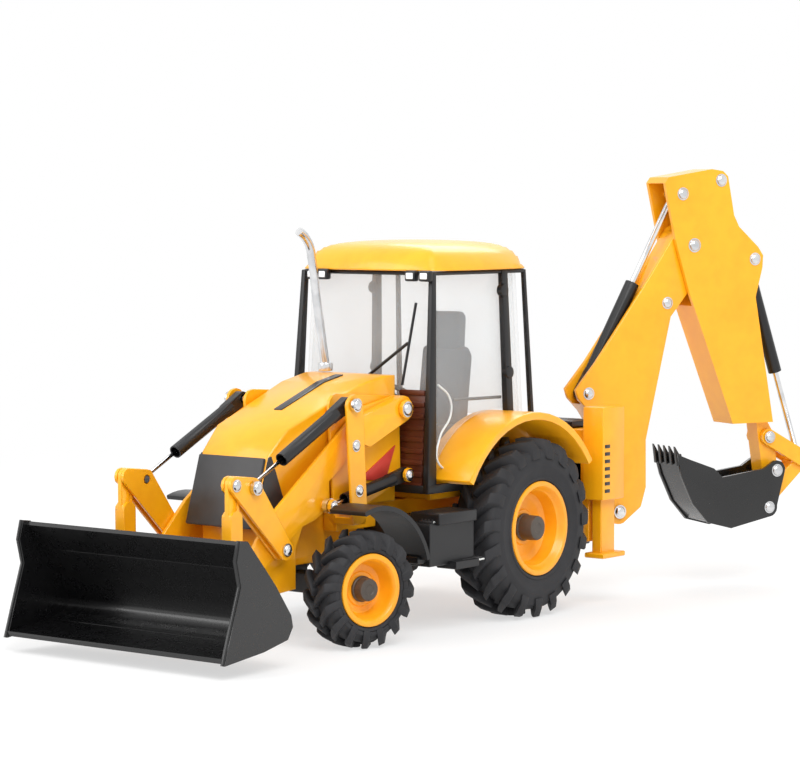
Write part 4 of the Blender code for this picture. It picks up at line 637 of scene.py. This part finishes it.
# exhaust stack on the right of the hood
stack = {"radius": 1.15, "x": -37.8, "y": 8.4, "z": 64.8,
         "route": [(0, 0.2), (-1.8, 9), (-3.6, 18), (-5.4, 28), (-6.2, 31), (-8.2, 33.6), (-10.4, 35)]}
bm = bmesh.new()
addTube(bm, [(stack["x"] + dx, stack["y"], stack["z"] + 1.0 + dz) for dx, dz in stack["route"]],
        stack["radius"], 20)
addBar(bm, (stack["x"], stack["y"], stack["z"]), (stack["x"], stack["y"], stack["z"] + 2.2), 1.9,
       24, 0.3)
finishPiece("exhaust_pipe", bm, machineSpace, brightMetal, "machine_body",
            ["exhaust_stack"])


# nose panel that wraps round the hood's front, and a dark stripe on the hood's top: painted shade of the
# recessed vent line
nose = {"low": (-88.1, 29.4), "high": (-82.9, 46.2), "half": 10.6, "thick": 1.0,
        "corner": (-87.2, 10.5), "taper": 5.45,
        "wrap": ((0.0, 30.0), (0.4, 32.4), (4.6, 46.6), (5.4, 46.8), (10.4, 33.6), (10.6, 30.0)),
        "stripe": ((-66.5, 56.7), (-50.0, 62.7), (-42.4, 64.2)), "stripeHalf": 1.3, "stripeHigh": 0.3}
bm = bmesh.new()
rise = Vector(nose["high"]) - Vector(nose["low"])
away = Vector((-rise.y, rise.x)).normalized()
foot = Vector(nose["low"]) + away * 0.1
head = Vector(nose["high"]) + away * 0.1
addSlab(bm, [foot, head, head + away * nose["thick"], foot + away * nose["thick"]], -nose["half"],
        nose["half"], 0.35)
for side, _ in sides:
    spot = shiftBy(nose["corner"][0], side * nose["corner"][1], 0) @ turnZ(side * nose["taper"])
    addSlab(bm, nose["wrap"], -0.25, 0.25, 0.1, spot=spot)
finishPiece("nose_panel", bm, machineSpace, charcoalPlastic, "machine_body",
            ["front_grille"])
# black slab along the hood's centre line: painted shade of the recessed vent line
bm = bmesh.new()
stripe = [(x, z + nose["stripeHigh"]) for x, z in nose["stripe"]]
stripe += [(x, z - nose["stripeHigh"]) for x, z in reversed(nose["stripe"])]
addSlab(bm, stripe, -nose["stripeHalf"], nose["stripeHalf"], 0.1)
finishPiece("hood_vent_painted_shade", bm, machineSpace, blackMarkAndPaintedShade, "machine_body")


# driver's seat
seat = {"rear": 2.5, "floor": 34.6,
        "pads": ((((-18, 10.4), (-1, 10.2), (0, 14.6), (-10, 15.2), (-17.5, 16)), 7.5, 1.3),
                 (((-4.3, 14), (-0.2, 12), (2.4, 33), (0.4, 35.6), (-1.6, 35)), 7.2, 1.6),
                 (((-1.6, 33.4), (2.2, 33), (2.9, 43.4), (1.2, 44.8), (-0.6, 44.2)), 4.8, 1.7))}


def seatMesh():
    bm = bmesh.new()
    rear, floor = seat["rear"], seat["floor"]
    addBox(bm, (rear - 15, -4.5, floor), (rear - 3, 4.5, floor + 10.2), 0.6)
    for outline, half, edge in seat["pads"]:
        addSlab(bm, [(rear + x, floor + z) for x, z in outline], -half, half, edge, 4)
    return bm


finishPiece("driver_seat", seatMesh(), machineSpace, seatPlastic, "machine_body",
            ["operator_seat"], 60.0)


# rivets: domed bright heads on the pins
def addRivet(bm, x, y, z, radius, hand):
    height = 0.45 * radius
    profile = [(0, 0), (radius, 0), (radius, 0.25)]
    profile += [(0.82 * radius * math.cos(a), 0.25 + height * math.sin(a))
                for a in [math.radians(15 * i) for i in range(6)]]
    profile += [(0, 0.25 + height)]
    turn = Matrix.Identity(4) if hand > 0 else Matrix.Rotation(math.pi, 4, "Z")
    addTurned(bm, profile, 24, shiftBy(x, y, z) @ turn, closed=False)


rivets = {
    "tower_pin": {"at": (-61.0, 58.5), "out": 20.95, "radius": 1.7, "body": "{side}_tower_pivot"},
    "lever_pin": {"at": (-97.0, 40.8), "out": 19.85, "radius": 1.7, "body": "{side}_lever_pivot"},
    "link_pin": {"at": (-103.2, 41.8), "out": 18.75, "radius": 1.5, "body": "{side}_lever"},
    "lever_root": {"at": (-85.2, 24.9), "out": 19.0, "radius": 1.6, "body": "loader_arm_frame"},
    "lift_tip": {"at": (-67.5, 34.0), "out": 18.95, "radius": 1.4, "body": "loader_arm_frame"},
    "lift_base": {"at": (-38.0, 39.5), "out": 19.25, "radius": 1.6, "body": "machine_body"},
    "arm_pivot": {"at": (-39.0, 56.2), "out": 19.35, "radius": 2.0, "body": "machine_body"},
    "strip_middle": {"at": (-60.1, 48.4), "out": 19.85, "radius": 1.5, "body": "machine_body"},
    "strip_foot": {"at": (-58.9, 37.2), "out": 19.85, "radius": 1.5, "body": "machine_body"},
}
for side, sideName in sides:
    for rivet, values in rivets.items():
        bm = bmesh.new()
        x, z = values["at"]
        addRivet(bm, x, side * values["out"], z, values["radius"], side)
        body = values["body"].format(side=sideName)
        finishPiece(sideName + "_" + rivet + "_rivet", bm, machineSpace, brightMetal, body)

armRivets = {
    "boom_foot": {"at": (10.9, 22.5), "out": 4.05, "radius": 1.9, "body": "slew_post"},
    "boom_knee": {"at": (1.0, 55.6), "out": 3.55, "radius": 1.7, "body": "boom"},
    "boom_side": {"at": (26.2, 80.1), "out": 3.55, "radius": 1.7, "body": "boom"},
    "dipper_root": {"at": (34.1, 96.1), "out": 4.95, "radius": 2.0, "body": "dipper"},
    "dipper_ram": {"at": (30.2, 110.4), "out": 4.95, "radius": 1.8, "body": "dipper"},
    "dipper_crown": {"at": (42.8, 114.2), "out": 4.95, "radius": 1.8, "body": "dipper"},
    "scoop_ram": {"at": (54.2, 92.1), "out": 4.95, "radius": 1.8, "body": "dipper"},
    "tip_root": {"at": (60.1, 41.5), "out": 4.45, "radius": 1.7, "body": "dipper"},
    "tip_end": {"at": (72.8, 34.5), "out": 3.95, "radius": 1.5, "body": "tip_lever"},
    "scoop_root": {"at": (61.4, 32.1), "out": 6.25, "radius": 1.8, "body": "scoop"},
    "scoop_link": {"at": (58.9, 21.7), "out": 6.25, "radius": 1.7, "body": "scoop"},
}
for rivet, values in armRivets.items():
    bm = bmesh.new()
    x, z = values["at"]
    for hand in (-1, 1):
        addRivet(bm, x, hand * values["out"], z, values["radius"], hand)
    finishPiece(rivet + "_rivets", bm, backhoeSpace, brightMetal, values["body"])
print("rivets:", 2 * len(rivets) + 2 * len(armRivets))


# loader bucket: a smooth lining over the lug roots inside the back, and round rims on the side plates
scoopFront = {"pivot": (-98.5, 14.0), "liningHalf": 34.4, "rimY": 35.0, "rimRadius": 0.4,
              "inside": ((-16.0, 10.1), (-12.0, 4.57), (-9.4, 1.0), (-7.3, -2.3), (-6.9, -3.6),
                         (-7.5, -5.0), (-9.6, -6.2), (-14.7, -7.1)),
              "outside": ((-14.6, -7.8), (-6.55, -6.0), (-5.15, -3.9), (-5.74, -1.65),
                          (-10.95, 5.5), (-15.5, 10.6)),
              "rim": ((-28.0, -10.4), (-25.9, -3.9), (-22.2, 7.1), (-23.6, 13.0), (-22.4, 17.6))}
pivotX, pivotZ = scoopFront["pivot"]
bm = bmesh.new()
addSlab(bm, [(pivotX + x, pivotZ + z) for x, z in scoopFront["inside"] + scoopFront["outside"]],
        -scoopFront["liningHalf"], scoopFront["liningHalf"], 0.0)
finishPiece("bucket_lining", bm, machineSpace, bucketPlastic, "front_bucket",
            sharp=60.0)
bm = bmesh.new()
for side, _ in sides:
    addTube(bm, [(pivotX + x, side * scoopFront["rimY"], pivotZ + z) for x, z in scoopFront["rim"]],
            scoopFront["rimRadius"], 12, False)
finishPiece("bucket_rims", bm, machineSpace, bucketPlastic, "front_bucket")


# step treads with pale edges, red panels behind the towers, plain bars on the stabiliser sleeves
treads = {"upper": (-43.0, -27.4, 26.2, 30.4, 28.4), "lower": (-33.0, -23.6, 28.0, 32.2, 17.6),
          "ridges": 4}
redPanel = {"outline": ((-52.3, 39.0), (-37.5, 46.8), (-41.5, 38.2)), "y": (14.0, 14.45)}
sleeveBars = {"x": (28.3, 30.6), "z": (30.5, 42.5), "count": 7, "y": (33.4, 33.75), "thick": 0.9}
stepBm, trimBm, redBm, barBm = bmesh.new(), bmesh.new(), bmesh.new(), bmesh.new()
for side, _ in sides:
    for step in ("upper", "lower"):
        frontX, rearX, inner, outer, z = treads[step]
        lowY, highY = sorted((side * inner, side * outer))
        addBox(stepBm, (frontX, lowY, z - 0.2), (rearX, highY, z + 0.5), 0.2)
        for i in range(treads["ridges"]):
            y = lowY + (highY - lowY) * (i + 0.5) / treads["ridges"]
            addBox(stepBm, (frontX + 0.6, y - 0.25, z + 0.4), (rearX - 0.6, y + 0.25, z + 0.9), 0.1)
        edgeY = side * (outer + 0.1)
        addTube(trimBm, [(frontX + 0.4, edgeY, z + 0.3), (rearX - 0.4, edgeY, z + 0.3)], 0.22)
    addSlab(redBm, redPanel["outline"], *sorted(side * y for y in redPanel["y"]), 0.08)
    for i in range(sleeveBars["count"]):
        z = sleeveBars["z"][0] + (sleeveBars["z"][1] - sleeveBars["z"][0]) * i / (sleeveBars["count"] - 1)
        lowY, highY = sorted(side * y for y in sleeveBars["y"])
        addBox(barBm, (sleeveBars["x"][0], lowY, z),
               (sleeveBars["x"][1], highY, z + sleeveBars["thick"]), 0.05)
finishPiece("step_treads", stepBm, machineSpace, charcoalPlastic, "machine_body")
finishPiece("step_edges", trimBm, machineSpace, paleTrimAndPaintedHighlight, "machine_body")
finishPiece("tower_panels", redBm, machineSpace, redPlate, "machine_body")
finishPiece("sleeve_bars", barBm, machineSpace, blackMarkAndPaintedShade, "machine_body")
print("steps, panels and bars")


# studio: pale floor, soft lamps and the camera of the photograph
studio = {"cameraAt": (-608.1, -464.8, 109.6), "pitch": -3.72, "yaw": -51.68, "lens": 131.0,
          "sensor": 36.0, "floorHalf": 3.0, "paper": 0.93, "fadeFrom": 0.16, "fadeTo": 0.5,
          "white": 0.6, "sky": 0.62,
          "target": (0.0, 0.0, 0.05)}
camera = bpy.data.objects.new("camera", bpy.data.cameras.new("camera"))
camera.data.lens = studio["lens"]
camera.data.sensor_width = studio["sensor"]
camera.data.sensor_fit = "HORIZONTAL"
camera.location = Vector(studio["cameraAt"]) * mm
camera.rotation_euler = (math.radians(90 + studio["pitch"]), 0.0, math.radians(studio["yaw"]))
bpy.context.scene.collection.objects.link(camera)
bpy.context.scene.camera = camera


def seenRay(tree):
    # 1 for what the camera sees, straight on, mirrored or through the glass
    path = tree.nodes.new("ShaderNodeLightPath")
    camera, glossy, through = [Wire(tree, path.outputs[name])
                               for name in ("Is Camera Ray", "Is Glossy Ray", "Is Transmission Ray")]
    return camera.maths("MAXIMUM", camera, glossy.maths("MAXIMUM", glossy, through))


bm = bmesh.new()
bmesh.ops.create_grid(bm, x_segments=1, y_segments=1, size=studio["floorHalf"])
floorMesh = bpy.data.meshes.new("floor")
bm.to_mesh(floorMesh)
bm.free()
floor = bpy.data.objects.new("floor", floorMesh)
bpy.context.scene.collection.objects.link(floor)
floorFinish = bpy.data.materials.new("floor")
floorFinish.use_nodes = True
tree = floorFinish.node_tree
tree.nodes.remove(tree.nodes["Principled BSDF"])
spot = Wire(tree, tree.nodes.new("ShaderNodeTexCoord").outputs["Object"])
fromMiddle = spot.node("ShaderNodeVectorMath", {"operation": "LENGTH"}, {0: spot}, 1)
white = studio["white"] + fromMiddle.ramp(studio["fadeFrom"], studio["fadeTo"]) * (1 - studio["white"])
paper = spot.node("ShaderNodeBsdfDiffuse", {}, {"Color": (studio["paper"],) * 3 + (1.0,)})
glow = spot.node("ShaderNodeEmission", {}, {"Color": (1.0, 1.0, 1.0, 1.0)})
sheet = spot.node("ShaderNodeMixShader", {}, {0: white * seenRay(tree), 1: paper, 2: glow})
tree.links.new(sheet.socket, tree.nodes["Material Output"].inputs["Surface"])
floorMesh.materials.append(floorFinish)

world = bpy.data.worlds.new("studio")
bpy.context.scene.world = world
world.use_nodes = True
tree = world.node_tree
sky = tree.nodes["Background"]
(studio["sky"] + seenRay(tree) * (1 - studio["sky"])).into(sky, "Strength")
sky.inputs["Color"].default_value = (1.0, 1.0, 1.0, 1.0)

lamps = {"key": {"at": (-0.45, -0.55, 0.75), "size": 0.6, "power": 7.0},
         "fill": {"at": (-0.7, 0.35, 0.5), "size": 0.6, "power": 3.0},
         "rim": {"at": (0.6, 0.3, 0.8), "size": 0.6, "power": 4.0}}
for lampName, values in lamps.items():
    lamp = bpy.data.lights.new(lampName, "AREA")
    lamp.size = values["size"]
    lamp.energy = values["power"]
    holder = bpy.data.objects.new(lampName, lamp)
    holder.location = values["at"]
    aim = Vector(studio["target"]) - holder.location
    holder.rotation_euler = aim.to_track_quat("-Z", "Y").to_euler()
    bpy.context.scene.collection.objects.link(holder)
bpy.context.scene.view_settings.view_transform = "Standard"
